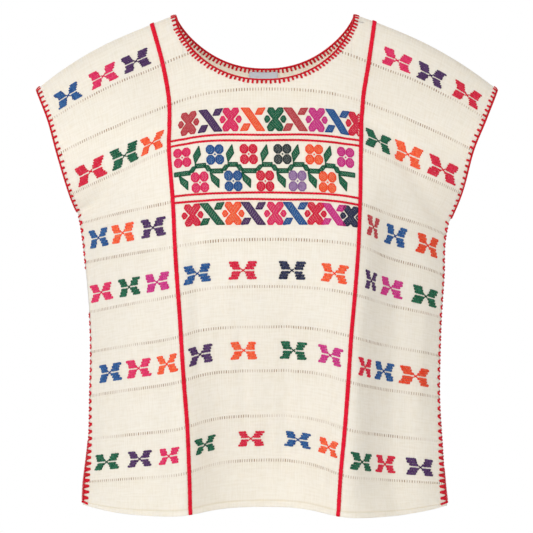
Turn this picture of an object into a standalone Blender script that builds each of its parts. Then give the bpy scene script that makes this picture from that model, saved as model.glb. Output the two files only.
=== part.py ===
"""Huipil blouse, in the hollow form it has when it is worn.

Three handwoven panels go from the front hem over the shoulders to the back hem. Two red satin bands
join them, red blanket stitch binds the neck and the open sleeve edges, and red stitching closes the
sides from the underarms down.

The garment's own left is +X when it is worn, but the names here are as a viewer in front sees it:
left is -X and right is +X. The front faces -Y. The origin is midway between the two neck points, on
top of the wearer's shoulders.

A place on the cloth is given by a panel, by a share across it, and by a weft line. Weft lines are
the woven rows of openwork: line 0 runs along the shoulder fold, line 11 is the hem, and lines on
the front are negative. Sizes are in millimetres until a mesh is made.
"""
import math
from collections import namedtuple

import bpy
import numpy as np

METRES = 0.001

# Cloth and trim
WALL = 1.2
SEW_GAP = 0.3
LIE_GAP = 0.45
SIDE_LIE_GAP = 0.9
BAND_WIDTH = 6.0
BAND_THICKNESS = 1.1
SIDE_BAND_REACH = 4.0
EDGING_RADIUS = 1.3
EDGING_SIDES = 6
LABEL_WIDTH = 36.0
LABEL_HEIGHT = 18.0
LABEL_WALL = 1.0
LABEL_GAP = 1.2
LABEL_SHIFT = -4.0
LABEL_DROP = 3.0
LABEL_ROWS = 3
LABEL_COLUMNS = 4

# Width of the centre panel as it is woven
CENTRE_WIDTH = 250.0

# Neck hole, from the line between the neck points
NECK_HALF_WIDTH = 118.5
NECK_SHIFT = -2.2
FRONT_NECK_DEPTH = 92.0
BACK_NECK_DEPTH = 64.0
NECK_ACROSS_POWER = 2.2
FRONT_NECK_POWER = 1.5
BACK_NECK_POWER = 1.3

# Armholes
UNDERARM_LINE = 3.6
ARMHOLE_HALF_GAPE = 50.0
BACK_EDGE_SET_IN = 7.0

# How each row of cloth runs between the panel edges
SIDE_BULGE = 8.0
DEPTH_POWER = 2.4
DROP_POWER = 3.0
HEM_SAG = 5.0
ROUNDING = 7.0

# Outer edges of the side panels: a row for each weft line. y is the middle of the open armhole
# above the underarm, and the side seam below it.
Edge = namedtuple("Edge", "line left_x left_z right_x right_z y")
EDGES = (
    Edge(0, -303, -97, 304, -97, 0),
    Edge(1, -283, -142, 285, -139, -2),
    Edge(2, -270, -186, 267, -181, -4),
    Edge(3, -256, -238, 254, -236, -8),
    Edge(4, -245, -275, 236, -290, -14),
    Edge(5, -238, -326, 233, -343, -18),
    Edge(6, -232, -391, 229, -398, -22),
    Edge(7, -230, -443, 227, -448, -26),
    Edge(8, -231, -500, 226, -502, -31),
    Edge(9, -232, -556, 229, -559, -36),
    Edge(10, -237, -611, 232, -613, -41),
    Edge(11, -238, -640, 234, -641, -44),
)

# Joining seams and middle of the front: a row for each weft line
Front = namedtuple("Front", "line left_x left_z right_x right_z seam_y mid_y mid_z")
FRONT = (
    Front(0, -156, -14, 147, -10, 0, 0, 16),
    Front(1, -139, -71, 137, -68, -44, -48, -42),
    Front(2, -128, -126, 127, -121, -80, -84, -104),
    Front(3, -127, -184, 123, -183, -110, -116, -166),
    Front(4, -121, -251, 122, -253, -128, -134, -236),
    Front(5, -118, -307, 120, -305, -136, -140, -297),
    Front(6, -114, -368, 115, -367, -139, -133, -356),
    Front(7, -111, -420, 110, -420, -140, -121, -407),
    Front(8, -107, -476, 106, -477, -140, -107, -463),
    Front(9, -102, -534, 101, -536, -141, -95, -521),
    Front(10, -99, -591, 95, -594, -142, -86, -578),
    Front(11, -97, -643, 91, -645, -143, -82, -638),
)

# Joining seams and middle of the back, the same on both sides
Back = namedtuple("Back", "line seam_x seam_y seam_z mid_y mid_z")
BACK = (
    Back(1, 139, 42, -66, 50, -36),
    Back(2, 133, 76, -118, 86, -92),
    Back(3, 128, 100, -176, 107, -154),
    Back(4, 125, 108, -240, 116, -219),
    Back(5, 123, 108, -298, 116, -280),
    Back(6, 120, 103, -358, 110, -343),
    Back(7, 117, 98, -412, 103, -399),
    Back(8, 115, 93, -468, 96, -457),
    Back(9, 113, 88, -526, 90, -516),
    Back(10, 112, 83, -583, 85, -574),
    Back(11, 112, 80, -634, 82, -630),
)

# Largest folds: share across the panel (0 at the seam and 1 at the edge of a side panel, -1 to 1
# across the centre panel) and weft line at each end, half width as a share, and depth. A valley's
# depth is negative.
Fold = namedtuple("Fold", "panel top_share top_line end_share end_line width depth")
FOLDS = (
    Fold("right", 0.35, -3.0, 0.41, -11.6, 0.21, -20.0),
    Fold("right", 0.62, -3.8, 0.64, -11.6, 0.15, -6.5),
    Fold("right", 0.95, -3.9, 0.06, -2.2, 0.12, -9.0),
    Fold("right", 0.10, -0.5, 0.07, -2.2, 0.06, -3.0),
    Fold("left", 0.26, -5.6, 0.30, -11.6, 0.17, -9.0),
    Fold("left", 0.95, -3.8, 0.10, -2.4, 0.12, -8.0),
    Fold("left", 0.10, -0.6, 0.06, -2.2, 0.06, -3.0),
    Fold("centre", -0.66, -4.6, -0.70, -11.8, 0.17, -11.0),
    Fold("centre", 0.58, -6.4, 0.52, -11.6, 0.15, -7.0),
    Fold("centre", 0.16, -5.2, 0.22, -10.6, 0.08, -3.0),
    Fold("right", 0.92, 3.9, 0.15, 2.4, 0.13, -8.0),
    Fold("left", 0.92, 3.8, 0.20, 2.6, 0.13, -7.0),
    Fold("right", 0.42, 4.6, 0.36, 11.8, 0.18, -11.0),
    Fold("left", 0.36, 5.2, 0.44, 11.6, 0.17, -13.0),
    Fold("centre", -0.46, 5.0, -0.40, 11.8, 0.18, -10.0),
    Fold("centre", 0.34, 6.2, 0.42, 11.6, 0.16, -12.0),
    Fold("centre", 0.02, 7.4, 0.04, 11.4, 0.12, 5.0),
)
FOLD_FADE = 0.22

# Mesh rows and columns
LINES = (0, 0.3, 0.6, 1, 1.5, 2, 2.8, 3.6, 4.3, 5, 5.75, 6.5, 7.25, 8, 8.75, 9.5, 10.25, 11)
SHARED_LINE = 2
SIDE_COLUMNS = 9
NECK_COLUMNS = 20
YOKE_COLUMNS = 2
SPAN_SAMPLES = 80
LINE_STEP = 0.03
LABEL_LINE_STEP = 0.1
SHARE_STEP = 0.02
SEAM_STEP_CENTRE = 0.03
SEAM_STEP_SIDE = 0.04
MITER_LIMIT = 2.0
HEM_LINE = 11

CLOTH = (0.83, 0.80, 0.71)
RED = (0.60, 0.010, 0.035)
LABEL = (0.62, 0.68, 0.76)
ROUGHNESS = 0.85


def rail(rows, line):
    """Point at a weft line on a smooth curve through rows of (line, x, y, z)."""
    table = np.array(rows, dtype=float)
    knots, places = table[:, 0], table[:, 1:]
    slopes = np.gradient(places, knots, axis=0)
    line = np.clip(np.asarray(line, dtype=float), knots[0], knots[-1])
    row = np.clip(np.searchsorted(knots, line, side="right") - 1, 0, len(knots) - 2)
    step = (knots[row + 1] - knots[row])[..., None]
    part = (line - knots[row])[..., None] / step
    start = places[row] * (1 + 2 * part) * (1 - part) ** 2 + step * slopes[row] * part * (1 - part) ** 2
    end = places[row + 1] * part ** 2 * (3 - 2 * part) + step * slopes[row + 1] * part ** 2 * (part - 1)
    return start + end


def make_rails():
    """The five lines that run from front hem to back hem: edges, seams and middle."""
    front = FRONT[::-1]
    rails = {
        "left seam": [(-r.line, r.left_x, r.seam_y, r.left_z) for r in front]
        + [(r.line, -r.seam_x, r.seam_y, r.seam_z) for r in BACK],
        "right seam": [(-r.line, r.right_x, r.seam_y, r.right_z) for r in front]
        + [(r.line, r.seam_x, r.seam_y, r.seam_z) for r in BACK],
        "middle": [(-r.line, (r.left_x + r.right_x) / 2, r.mid_y, r.mid_z) for r in front]
        + [(r.line, 0, r.mid_y, r.mid_z) for r in BACK],
        "left edge": [(-r.line, r.left_x, r.y, r.left_z) for r in EDGES[:0:-1]]
        + [(r.line, r.left_x, r.y, r.left_z) for r in EDGES],
        "right edge": [(-r.line, r.right_x, r.y, r.right_z) for r in EDGES[:0:-1]]
        + [(r.line, r.right_x, r.y, r.right_z) for r in EDGES],
    }
    return rails


RAILS = make_rails()


def edge_point(side, line):
    """Outer edge of a side panel, opened out at the armhole."""
    place = rail(RAILS[side + " edge"], line)
    gape = np.sin(np.pi * np.clip(np.abs(line) / UNDERARM_LINE, 0, 1))
    outwards = -1 if side == "left" else 1
    place[..., 1] += np.sign(line) * ARMHOLE_HALF_GAPE * gape
    place[..., 0] -= outwards * BACK_EDGE_SET_IN * gape * (np.sign(line) > 0)
    return place


def unit(vectors):
    return vectors / np.linalg.norm(vectors, axis=-1, keepdims=True)


def fold_height(panel, share, line):
    """How far the largest folds push the cloth in or out."""
    height = np.zeros(np.broadcast(share, line).shape)
    for fold in FOLDS:
        if fold.panel != panel:
            continue
        along = (line - fold.top_line) / (fold.end_line - fold.top_line)
        middle = fold.top_share + (fold.end_share - fold.top_share) * along
        fade = np.clip(along / FOLD_FADE, 0, 1) * np.clip((1 - along) / FOLD_FADE, 0, 1)
        fade = fade * fade * (3 - 2 * fade)
        height = height + fold.depth * fade * np.exp(-((share - middle) / fold.width) ** 2)
    return height


def side_span(side, line, share):
    """Row of a side panel from its seam to its edge."""
    seam, edge = rail(RAILS[side + " seam"], line), edge_point(side, line)
    ahead = rail(RAILS[side + " seam"], line + LINE_STEP) + edge_point(side, line + LINE_STEP)
    behind = rail(RAILS[side + " seam"], line - LINE_STEP) + edge_point(side, line - LINE_STEP)
    turn = 1 if side == "left" else -1
    outward = turn * unit(np.cross(ahead - behind, edge - seam))
    height = SIDE_BULGE * 4 * share * (1 - share) + fold_height(side, share, line[:, None])
    straight = seam[:, None] + (edge - seam)[:, None] * share[:, None]
    sag = HEM_SAG * np.clip(np.abs(line) - HEM_LINE + 1, 0, 1) ** 2
    straight[..., 2] -= sag[:, None] * 4 * share * (1 - share)
    return straight + outward[:, None] * height[..., None]


def centre_span(line, share):
    """Row of the centre panel from the left seam to the right one."""
    left, right = rail(RAILS["left seam"], line), rail(RAILS["right seam"], line)
    middle = rail(RAILS["middle"], line)
    ahead, behind = rail(RAILS["middle"], line + LINE_STEP), rail(RAILS["middle"], line - LINE_STEP)
    outward = unit(np.cross(right - left, ahead - behind))
    seam = np.where((share < 0)[:, None], left[:, None], right[:, None])
    row = np.empty(seam.shape)
    row[..., 0] = middle[:, None, 0] + (seam[..., 0] - middle[:, None, 0]) * np.abs(share)
    row[..., 1] = middle[:, None, 1] + (seam[..., 1] - middle[:, None, 1]) * np.abs(share) ** DEPTH_POWER
    row[..., 2] = middle[:, None, 2] + (seam[..., 2] - middle[:, None, 2]) * np.abs(share) ** DROP_POWER
    return row + outward[:, None] * fold_height("centre", share, line[:, None])[..., None]


def rounded(rows):
    """Soften the creases where the panels meet, with the outer edges kept."""
    reach = int(3 * ROUNDING)
    weights = np.exp(-0.5 * (np.arange(-reach, reach + 1) / ROUNDING) ** 2)
    weights /= weights.sum()
    first, last = rows[:, :1], rows[:, -1:]
    before = 2 * first - rows[:, reach:0:-1]
    after = 2 * last - rows[:, -2:-reach - 2:-1]
    long = np.concatenate((before, rows, after), axis=1)
    return sum(w * long[:, i:i + rows.shape[1]] for i, w in enumerate(weights))


def cloth_rows(line):
    """Whole rows of cloth, from the left edge to the right edge, at the given weft lines."""
    line = np.clip(line, -HEM_LINE, HEM_LINE)
    part = np.linspace(0, 1, SPAN_SAMPLES + 1)
    left = side_span("left", line, part)[:, ::-1]
    centre = centre_span(line, np.linspace(-1, 1, SPAN_SAMPLES + 1))
    right = side_span("right", line, part)
    return rounded(np.concatenate((left, centre[:, 1:-1], right), axis=1))


SPANS = {"left": (0, 1), "centre": (1, 2), "right": (2, 3)}


def spread(rows, panel, share):
    """Points at even shares of the cloth's own width on rows, one share for each row."""
    first, last = (SPAN_SAMPLES * n for n in SPANS[panel])
    span = rows[:, first:last + 1]
    if panel == "left":
        span = span[:, ::-1]
    lengths = np.linalg.norm(np.diff(span, axis=1), axis=2)
    run = np.concatenate((np.zeros((len(span), 1)), np.cumsum(lengths, axis=1)), axis=1)
    wanted = share * run[:, -1]
    index = np.clip((run <= wanted[:, None]).sum(axis=1) - 1, 0, span.shape[1] - 2)
    pick = np.arange(len(span))
    part = (wanted - run[pick, index]) / (run[pick, index + 1] - run[pick, index])
    return span[pick, index] + (span[pick, index + 1] - span[pick, index]) * part[:, None]


def cloth_point(panel, share, line):
    """Points of the cloth's outer face. share runs 0 to 1 across the panel's width, from the seam
    outwards on a side panel and from left to right on the centre one."""
    share, line = np.broadcast_arrays(np.asarray(share, float), np.asarray(line, float))
    flat_share, flat_line = share.ravel(), line.ravel()
    return spread(cloth_rows(flat_line), panel, flat_share).reshape(share.shape + (3,))


def cloth_normal(panel, share, line):
    """Outward directions of the cloth, taken across the seams so that panels agree there."""
    share, line = np.broadcast_arrays(np.asarray(share, float), np.asarray(line, float))
    low, high = np.clip(share - SHARE_STEP, 0, 1), np.clip(share + SHARE_STEP, 0, 1)
    across = cloth_point(panel, high, line) - cloth_point(panel, low, line)
    first, last = share <= SHARE_STEP, share >= 1 - SHARE_STEP
    if panel != "centre":
        across[first] = seam_direction(panel, line[first])
    else:
        across[first] = -seam_direction("left", line[first])
        across[last] = seam_direction("right", line[last])
    down = cloth_point(panel, share, line + LINE_STEP) - cloth_point(panel, share, line - LINE_STEP)
    turn = -1 if panel == "left" else 1
    return turn * unit(np.cross(across, down))


def seam_direction(side, line):
    """Across the seam, pointing out to the edge of the side panel."""
    if not len(line):
        return np.zeros((0, 3))
    inner = cloth_point("centre", SEAM_STEP_CENTRE if side == "left" else 1 - SEAM_STEP_CENTRE, line)
    return cloth_point(side, SEAM_STEP_SIDE, line) - inner


def find_root(value, low, high, steps=30):
    """Where a rising value passes zero, for arrays of brackets."""
    for _ in range(steps):
        middle = (low + high) / 2
        above = value(middle) > 0
        high = np.where(above, middle, high)
        low = np.where(above, low, middle)
    return (low + high) / 2


def neck_shares():
    """Shares of the centre panel at the two neck points."""
    fold = np.zeros(1)

    def share_at(x):
        return find_root(lambda share: cloth_point("centre", share, fold)[:, 0] - x, fold, fold + 1)[0]

    return share_at(NECK_SHIFT - NECK_HALF_WIDTH), share_at(NECK_SHIFT + NECK_HALF_WIDTH)


def neck_line(share, face):
    """Weft line where the cut neck edge crosses a column of the centre panel."""
    depth = FRONT_NECK_DEPTH if face < 0 else BACK_NECK_DEPTH
    power = FRONT_NECK_POWER if face < 0 else BACK_NECK_POWER

    def outside(line):
        place = cloth_point("centre", share, face * line)
        aside = np.abs(place[:, 0] - NECK_SHIFT) / NECK_HALF_WIDTH
        down = np.maximum(-place[:, 2], 0) / depth
        return aside ** NECK_ACROSS_POWER + down ** power - 1

    low = np.zeros(len(share))
    return face * find_root(outside, low, low + SHARED_LINE)


def centre_columns():
    """Shares of the centre panel's columns, closer together where the neck edge is steep."""
    left, right = neck_shares()
    turn = np.linspace(0, math.pi, NECK_COLUMNS + 1)
    neck = (left + right) / 2 - (right - left) / 2 * np.cos(turn)
    yoke = np.arange(YOKE_COLUMNS) / YOKE_COLUMNS
    return np.concatenate((left * yoke, neck, 1 - (1 - right) * yoke[::-1]))


def centre_lines(shares, face):
    """Weft lines of the centre panel's rows, column by column, from neck edge or fold to hem."""
    inside = slice(YOKE_COLUMNS + 1, len(shares) - YOKE_COLUMNS - 1)
    top = np.zeros(len(shares))
    top[inside] = neck_line(shares[inside], face)
    shared = LINES.index(SHARED_LINE)
    rows = []
    for number, line in enumerate(LINES):
        part = max(0.0, 1 - line / SHARED_LINE) if number < shared else 0.0
        rows.append(top * part + face * line)
    return np.array(rows)


def add_part(name, points, faces, color):
    """Named mesh object with its own material, from points in millimetres."""
    mesh = bpy.data.meshes.new(name)
    mesh.from_pydata((points * METRES).tolist(), [], faces)
    mesh.materials.append(material(name, color))
    bpy.context.scene.collection.objects.link(bpy.data.objects.new(name, mesh))
    face_outwards(mesh)


def shell(name, outer, inner, faces, color):
    """Closed wall between two copies of a sheet, with a rim along the sheet's free edges."""
    count = len(outer)
    edges = {}
    for face in faces:
        for start, end in zip(face, face[1:] + face[:1]):
            edges[(start, end)] = edges.get((start, end), 0) + 1
    solid = [tuple(face) for face in faces]
    solid += [tuple(v + count for v in reversed(face)) for face in faces]
    for start, end in edges:
        if (end, start) not in edges:
            solid.append((end, start, start + count, end + count))
    add_part(name, np.concatenate((outer, inner)), solid, color)


def grid_faces(numbers, outward_first=True):
    """Quads between the numbered points of a grid."""
    faces = []
    for row, below in zip(numbers, numbers[1:]):
        for a, b, c, d in zip(row, row[1:], below[1:], below):
            faces.append([a, b, c, d] if outward_first else [d, c, b, a])
    return faces


def material(name, color):
    made = bpy.data.materials.new(name)
    made.use_nodes = True
    shader = made.node_tree.nodes["Principled BSDF"]
    shader.inputs["Base Color"].default_value = (*color, 1.0)
    shader.inputs["Roughness"].default_value = ROUGHNESS
    return made


def side_lines():
    """Weft lines of a side panel's rows, front hem to back hem."""
    return np.array([-n for n in LINES[::-1]] + list(LINES[1:]), dtype=float)


def side_sheet(side):
    """Grid of points and outward directions of a side panel, seam first."""
    shares = np.linspace(0, 1, SIDE_COLUMNS + 1)
    lines = side_lines()
    points = cloth_point(side, shares[None, :], lines[:, None])
    normals = cloth_normal(side, shares[None, :], lines[:, None])
    miter_side_seam(normals, lines)
    return points, normals


def miter_side_seam(normals, lines):
    """Turn front and back the same way where their edges are sewn together."""
    count = len(lines)
    for row in range(count // 2):
        if lines[row] > -UNDERARM_LINE:
            continue
        front, back = normals[row, -1], normals[count - 1 - row, -1]
        both = unit(front + back)
        reach = min(MITER_LIMIT, 1 / float(both @ front))
        normals[row, -1] = normals[count - 1 - row, -1] = both * reach


def toward(points, column, neighbour, distance):
    """Points of a column moved along the rows towards the next column."""
    step = points[:, neighbour] - points[:, column]
    return points[:, column] + unit(step) * distance


def make_side_panel(side):
    points, normals = side_sheet(side)
    outer = points.copy()
    outer[:, 0] = toward(points, 0, 1, SEW_GAP / 2)
    outer[:, -1] = toward(points, -1, -2, SEW_GAP)
    inner = outer - normals * WALL
    numbers = np.arange(points.shape[0] * points.shape[1]).reshape(points.shape[:2]).tolist()
    faces = grid_faces(numbers, outward_first=side == "left")
    shell("panel_" + side, outer.reshape(-1, 3), inner.reshape(-1, 3), faces, CLOTH)
    return points, normals


def make_centre_panel():
    """Centre panel with its neck hole. Front and back are one strip outside the neck points."""
    shares = centre_columns()
    halves = []
    for face in (-1, 1):
        lines = centre_lines(shares, face)
        points = cloth_point("centre", shares[None, :], lines)
        normals = cloth_normal("centre", shares[None, :], lines)
        halves.append((points, normals, lines))
    rows, columns = halves[0][0].shape[:2]
    numbers = np.arange(2 * rows * columns).reshape(2, rows, columns)
    shared = [c for c in range(columns) if c <= YOKE_COLUMNS or c >= columns - 1 - YOKE_COLUMNS]
    numbers[1, 0, shared] = numbers[0, 0, shared]
    faces = grid_faces(numbers[0].tolist(), outward_first=False) + grid_faces(numbers[1].tolist())
    outer = np.concatenate([half[0] for half in halves])
    normals = np.concatenate([half[1] for half in halves])
    outer[:, 0] = toward(outer, 0, 1, SEW_GAP / 2)
    outer[:, -1] = toward(outer, -1, -2, SEW_GAP / 2)
    inner = outer - normals * WALL
    used = sorted({v for face in faces for v in face})
    place = {v: i for i, v in enumerate(used)}
    faces = [[place[v] for v in face] for face in faces]
    shell("panel_centre", outer.reshape(-1, 3)[used], inner.reshape(-1, 3)[used], faces, CLOTH)
    return halves


def strip(name, lines, normals, gap):
    """Flat band over a seam, from three lines of points that lie on the cloth."""
    points, lifted = np.stack(lines, axis=1), np.stack(normals, axis=1)
    low, high = points + lifted * gap, points + lifted * (gap + BAND_THICKNESS)
    numbers = np.arange(points.shape[0] * 3).reshape(-1, 3).tolist()
    faces = grid_faces(numbers, outward_first=False)
    shell(name, high.reshape(-1, 3), low.reshape(-1, 3), faces, RED)


def make_seam_band(side, side_panel, halves):
    """Satin band over a joining seam, front hem to back hem."""
    points, normals = side_panel
    front, back = halves
    column, neighbour = (0, 1) if side == "left" else (-1, -2)
    centre_points = np.concatenate((front[0][::-1], back[0][1:]))
    outer_line = toward(points, 0, 1, BAND_WIDTH / 2)
    inner_line = toward(centre_points, column, neighbour, BAND_WIDTH / 2)
    lines = (outer_line, points[:, 0], inner_line)
    if side == "right":
        lines = lines[::-1]
    strip("seam_" + side, lines, (normals[:, 0],) * 3, LIE_GAP)


def make_side_seam(side, side_panel):
    """Stitched band that closes the side from the underarm to the hem."""
    points, normals = side_panel
    sewn = LINES.index(UNDERARM_LINE) + 1
    count = len(LINES) - sewn
    front, back = points[:count + 1], points[::-1][:count + 1]
    front_reach = toward(front, -1, -2, SIDE_BAND_REACH)
    back_reach = toward(back, -1, -2, SIDE_BAND_REACH)
    directions = (normals[:count + 1, -2], normals[:count + 1, -1], normals[::-1][:count + 1, -2])
    lines = (back_reach, front[:, -1], front_reach)
    if side == "right":
        lines = lines[::-1]
    else:
        directions = directions[::-1]
    strip("side_seam_" + side, lines, directions, SIDE_LIE_GAP)


def tube(name, path, color):
    """Closed ring of round section along a closed path."""
    count = len(path)
    along = unit(np.roll(path, -1, axis=0) - np.roll(path, 1, axis=0))
    middle = path.mean(axis=0)
    first = unit(np.cross(along, path - middle))
    second = np.cross(along, first)
    rings = []
    for turn in range(EDGING_SIDES):
        angle = 2 * math.pi * turn / EDGING_SIDES
        rings.append(path + EDGING_RADIUS * (math.cos(angle) * first + math.sin(angle) * second))
    points = np.stack(rings, axis=1).reshape(-1, 3)
    faces = []
    for ring in range(count):
        for turn in range(EDGING_SIDES):
            corners = ((ring, turn), (ring, turn + 1), (ring + 1, turn + 1), (ring + 1, turn))
            faces.append([(r % count) * EDGING_SIDES + t % EDGING_SIDES for r, t in corners])
    add_part(name, points, faces, color)


def face_outwards(mesh):
    """Turn every face of a closed mesh outwards."""
    mesh.calc_loop_triangles()
    corners = np.array([v.co for v in mesh.vertices])
    triangles = np.array([t.vertices for t in mesh.loop_triangles])
    a, b, c = (corners[triangles[:, n]] for n in range(3))
    if np.einsum("ij,ij->i", a, np.cross(b, c)).sum() < 0:
        mesh.flip_normals()


def off_the_edge(edge, inwards, normals):
    """Path of an edging, just beyond a cut edge and at the middle of the wall."""
    away = unit(edge - inwards)
    return edge + away * (EDGING_RADIUS + SEW_GAP) - normals * WALL / 2


def make_neck_edging(halves):
    """Blanket stitch round the neck."""
    (front, front_normals, _), (back, back_normals, _) = halves
    last = front.shape[1] - 1 - YOKE_COLUMNS
    forth = slice(YOKE_COLUMNS, last + 1)
    edge = np.concatenate((front[0, forth], back[0, forth][-2:0:-1]))
    normals = np.concatenate((front_normals[0, forth], back_normals[0, forth][-2:0:-1]))
    along = unit(np.roll(edge, -1, axis=0) - np.roll(edge, 1, axis=0))
    inwards = edge - np.cross(normals, along)
    tube("neck_edging", off_the_edge(edge, inwards, normals), RED)


def make_armhole_edging(side, side_panel):
    """Blanket stitch round an open sleeve edge, closed by a bar at the underarm."""
    points, normals = side_panel
    first = len(LINES) - LINES.index(UNDERARM_LINE)
    last = points.shape[0] - first
    edge, inwards = points[first:last, -1], points[first:last, -2]
    path = off_the_edge(edge, inwards, normals[first:last, -1])
    bar = (points[first - 1, -1] + path[0]) / 2
    bar[1] = (path[0][1] + path[-1][1]) / 2
    tube("armhole_edging_" + side, np.concatenate((path, bar[None])), RED)


def make_label():
    """Blank label that hangs inside the back neck."""
    across = np.linspace(-0.5, 0.5, LABEL_COLUMNS) * LABEL_WIDTH + LABEL_SHIFT
    share = 0.5 + across / CENTRE_WIDTH
    top = neck_line(share, 1)
    below = cloth_point("centre", share, top + LABEL_LINE_STEP)
    height = np.linalg.norm(below - cloth_point("centre", share, top), axis=1)
    drops = LABEL_DROP + LABEL_HEIGHT * np.linspace(0, 1, LABEL_ROWS)
    lines = top + LABEL_LINE_STEP * drops[:, None] / height
    points = cloth_point("centre", share[None, :], lines)
    normals = cloth_normal("centre", share[None, :], lines)
    outer = (points - normals * (WALL + LABEL_GAP)).reshape(-1, 3)
    inner = (points - normals * (WALL + LABEL_GAP + LABEL_WALL)).reshape(-1, 3)
    numbers = np.arange(LABEL_ROWS * LABEL_COLUMNS).reshape(LABEL_ROWS, LABEL_COLUMNS).tolist()
    shell("neck_label", outer, inner, grid_faces(numbers), LABEL)


def main():
    for thing in list(bpy.data.objects):
        bpy.data.objects.remove(thing)
    halves = make_centre_panel()
    for side in ("left", "right"):
        sheet = make_side_panel(side)
        make_seam_band(side, sheet, halves)
        make_side_seam(side, sheet)
        make_armhole_edging(side, sheet)
    make_neck_edging(halves)
    make_label()


main()
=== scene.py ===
"""Huipil blouse: handwoven cloth, brocade motifs and red thread work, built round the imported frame.

Left is -X and right is +X, as a viewer in front sees the blouse. The front faces -Y.

A place on the cloth is given by a panel, by a share across it, and by a weft line. Weft lines are
the woven rows of openwork: line 0 runs along the shoulder fold, line 11 is the hem, and lines on
the front are negative. Sizes are in millimetres until a mesh is made.
"""
import math
from collections import namedtuple

import bmesh
import bpy
import numpy as np
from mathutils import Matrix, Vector


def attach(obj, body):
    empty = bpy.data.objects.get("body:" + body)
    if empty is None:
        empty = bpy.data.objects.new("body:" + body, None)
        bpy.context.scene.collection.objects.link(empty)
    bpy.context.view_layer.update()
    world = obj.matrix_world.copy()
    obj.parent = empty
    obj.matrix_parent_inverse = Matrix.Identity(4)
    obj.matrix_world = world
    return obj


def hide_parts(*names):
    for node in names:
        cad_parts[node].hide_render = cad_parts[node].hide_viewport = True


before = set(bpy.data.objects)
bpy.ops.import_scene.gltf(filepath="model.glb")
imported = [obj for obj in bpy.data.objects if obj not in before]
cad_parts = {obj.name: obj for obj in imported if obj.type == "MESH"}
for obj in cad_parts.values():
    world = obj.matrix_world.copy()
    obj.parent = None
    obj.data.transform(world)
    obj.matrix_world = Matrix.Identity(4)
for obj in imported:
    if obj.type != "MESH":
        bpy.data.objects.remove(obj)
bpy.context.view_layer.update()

METRES = 0.001
chance = np.random.default_rng(11)

# ---------------------------------------------------------------- the garment's form

# Cut of the panels, from front hem to back hem
SIDE_CUT = (175.0, 1285.0)
CENTRE_CUT = (250.0, 1330.0)
WALL = 1.0

# Neck hole, from the line between the neck points
NECK_HALF_WIDTH = 118.5
NECK_SHIFT = -2.2
FRONT_NECK_DEPTH = 92.0
BACK_NECK_DEPTH = 64.0
NECK_ACROSS_POWER = 2.2
FRONT_NECK_POWER = 1.5
BACK_NECK_POWER = 1.3

# Armholes
UNDERARM_LINE = 3.6
ARMHOLE_HALF_GAPE = 50.0
BACK_EDGE_SET_IN = 7.0

# How each row of cloth runs between the panel edges
SIDE_BULGE = 8.0
DEPTH_POWER = 2.4
DROP_POWER = 3.0
HEM_SAG = 5.0
ROUNDING = 7.0

# Outer edges of the side panels: a row for each weft line. y is the middle of the open armhole
# above the underarm, and the side seam below it.
Edge = namedtuple("Edge", "line left_x left_z right_x right_z y")
EDGES = (
    Edge(0, -303, -97, 304, -97, 0),
    Edge(1, -283, -142, 285, -139, -2),
    Edge(2, -270, -186, 267, -181, -4),
    Edge(3, -256, -238, 254, -236, -8),
    Edge(4, -245, -275, 236, -290, -14),
    Edge(5, -238, -326, 233, -343, -18),
    Edge(6, -232, -391, 229, -398, -22),
    Edge(7, -230, -443, 227, -448, -26),
    Edge(8, -231, -500, 226, -502, -31),
    Edge(9, -232, -556, 229, -559, -36),
    Edge(10, -237, -611, 232, -613, -41),
    Edge(11, -238, -640, 234, -641, -44),
)

# Joining seams and middle of the front: a row for each weft line
Front = namedtuple("Front", "line left_x left_z right_x right_z seam_y mid_y mid_z")
FRONT = (
    Front(0, -156, -14, 147, -10, 0, 0, 16),
    Front(1, -139, -71, 137, -68, -44, -48, -42),
    Front(2, -128, -126, 127, -121, -80, -84, -104),
    Front(3, -127, -184, 123, -183, -110, -116, -166),
    Front(4, -121, -251, 122, -253, -128, -134, -236),
    Front(5, -118, -307, 120, -305, -136, -140, -297),
    Front(6, -114, -368, 115, -367, -139, -133, -356),
    Front(7, -111, -420, 110, -420, -140, -121, -407),
    Front(8, -107, -476, 106, -477, -140, -107, -463),
    Front(9, -102, -534, 101, -536, -141, -95, -521),
    Front(10, -99, -591, 95, -594, -142, -86, -578),
    Front(11, -97, -643, 91, -645, -143, -82, -638),
)

# Joining seams and middle of the back, the same on both sides
Back = namedtuple("Back", "line seam_x seam_y seam_z mid_y mid_z")
BACK = (
    Back(1, 139, 42, -66, 50, -36),
    Back(2, 133, 76, -118, 86, -92),
    Back(3, 128, 100, -176, 107, -154),
    Back(4, 125, 108, -240, 116, -219),
    Back(5, 123, 108, -298, 116, -280),
    Back(6, 120, 103, -358, 110, -343),
    Back(7, 117, 98, -412, 103, -399),
    Back(8, 115, 93, -468, 96, -457),
    Back(9, 113, 88, -526, 90, -516),
    Back(10, 112, 83, -583, 85, -574),
    Back(11, 112, 80, -634, 82, -630),
)

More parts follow.
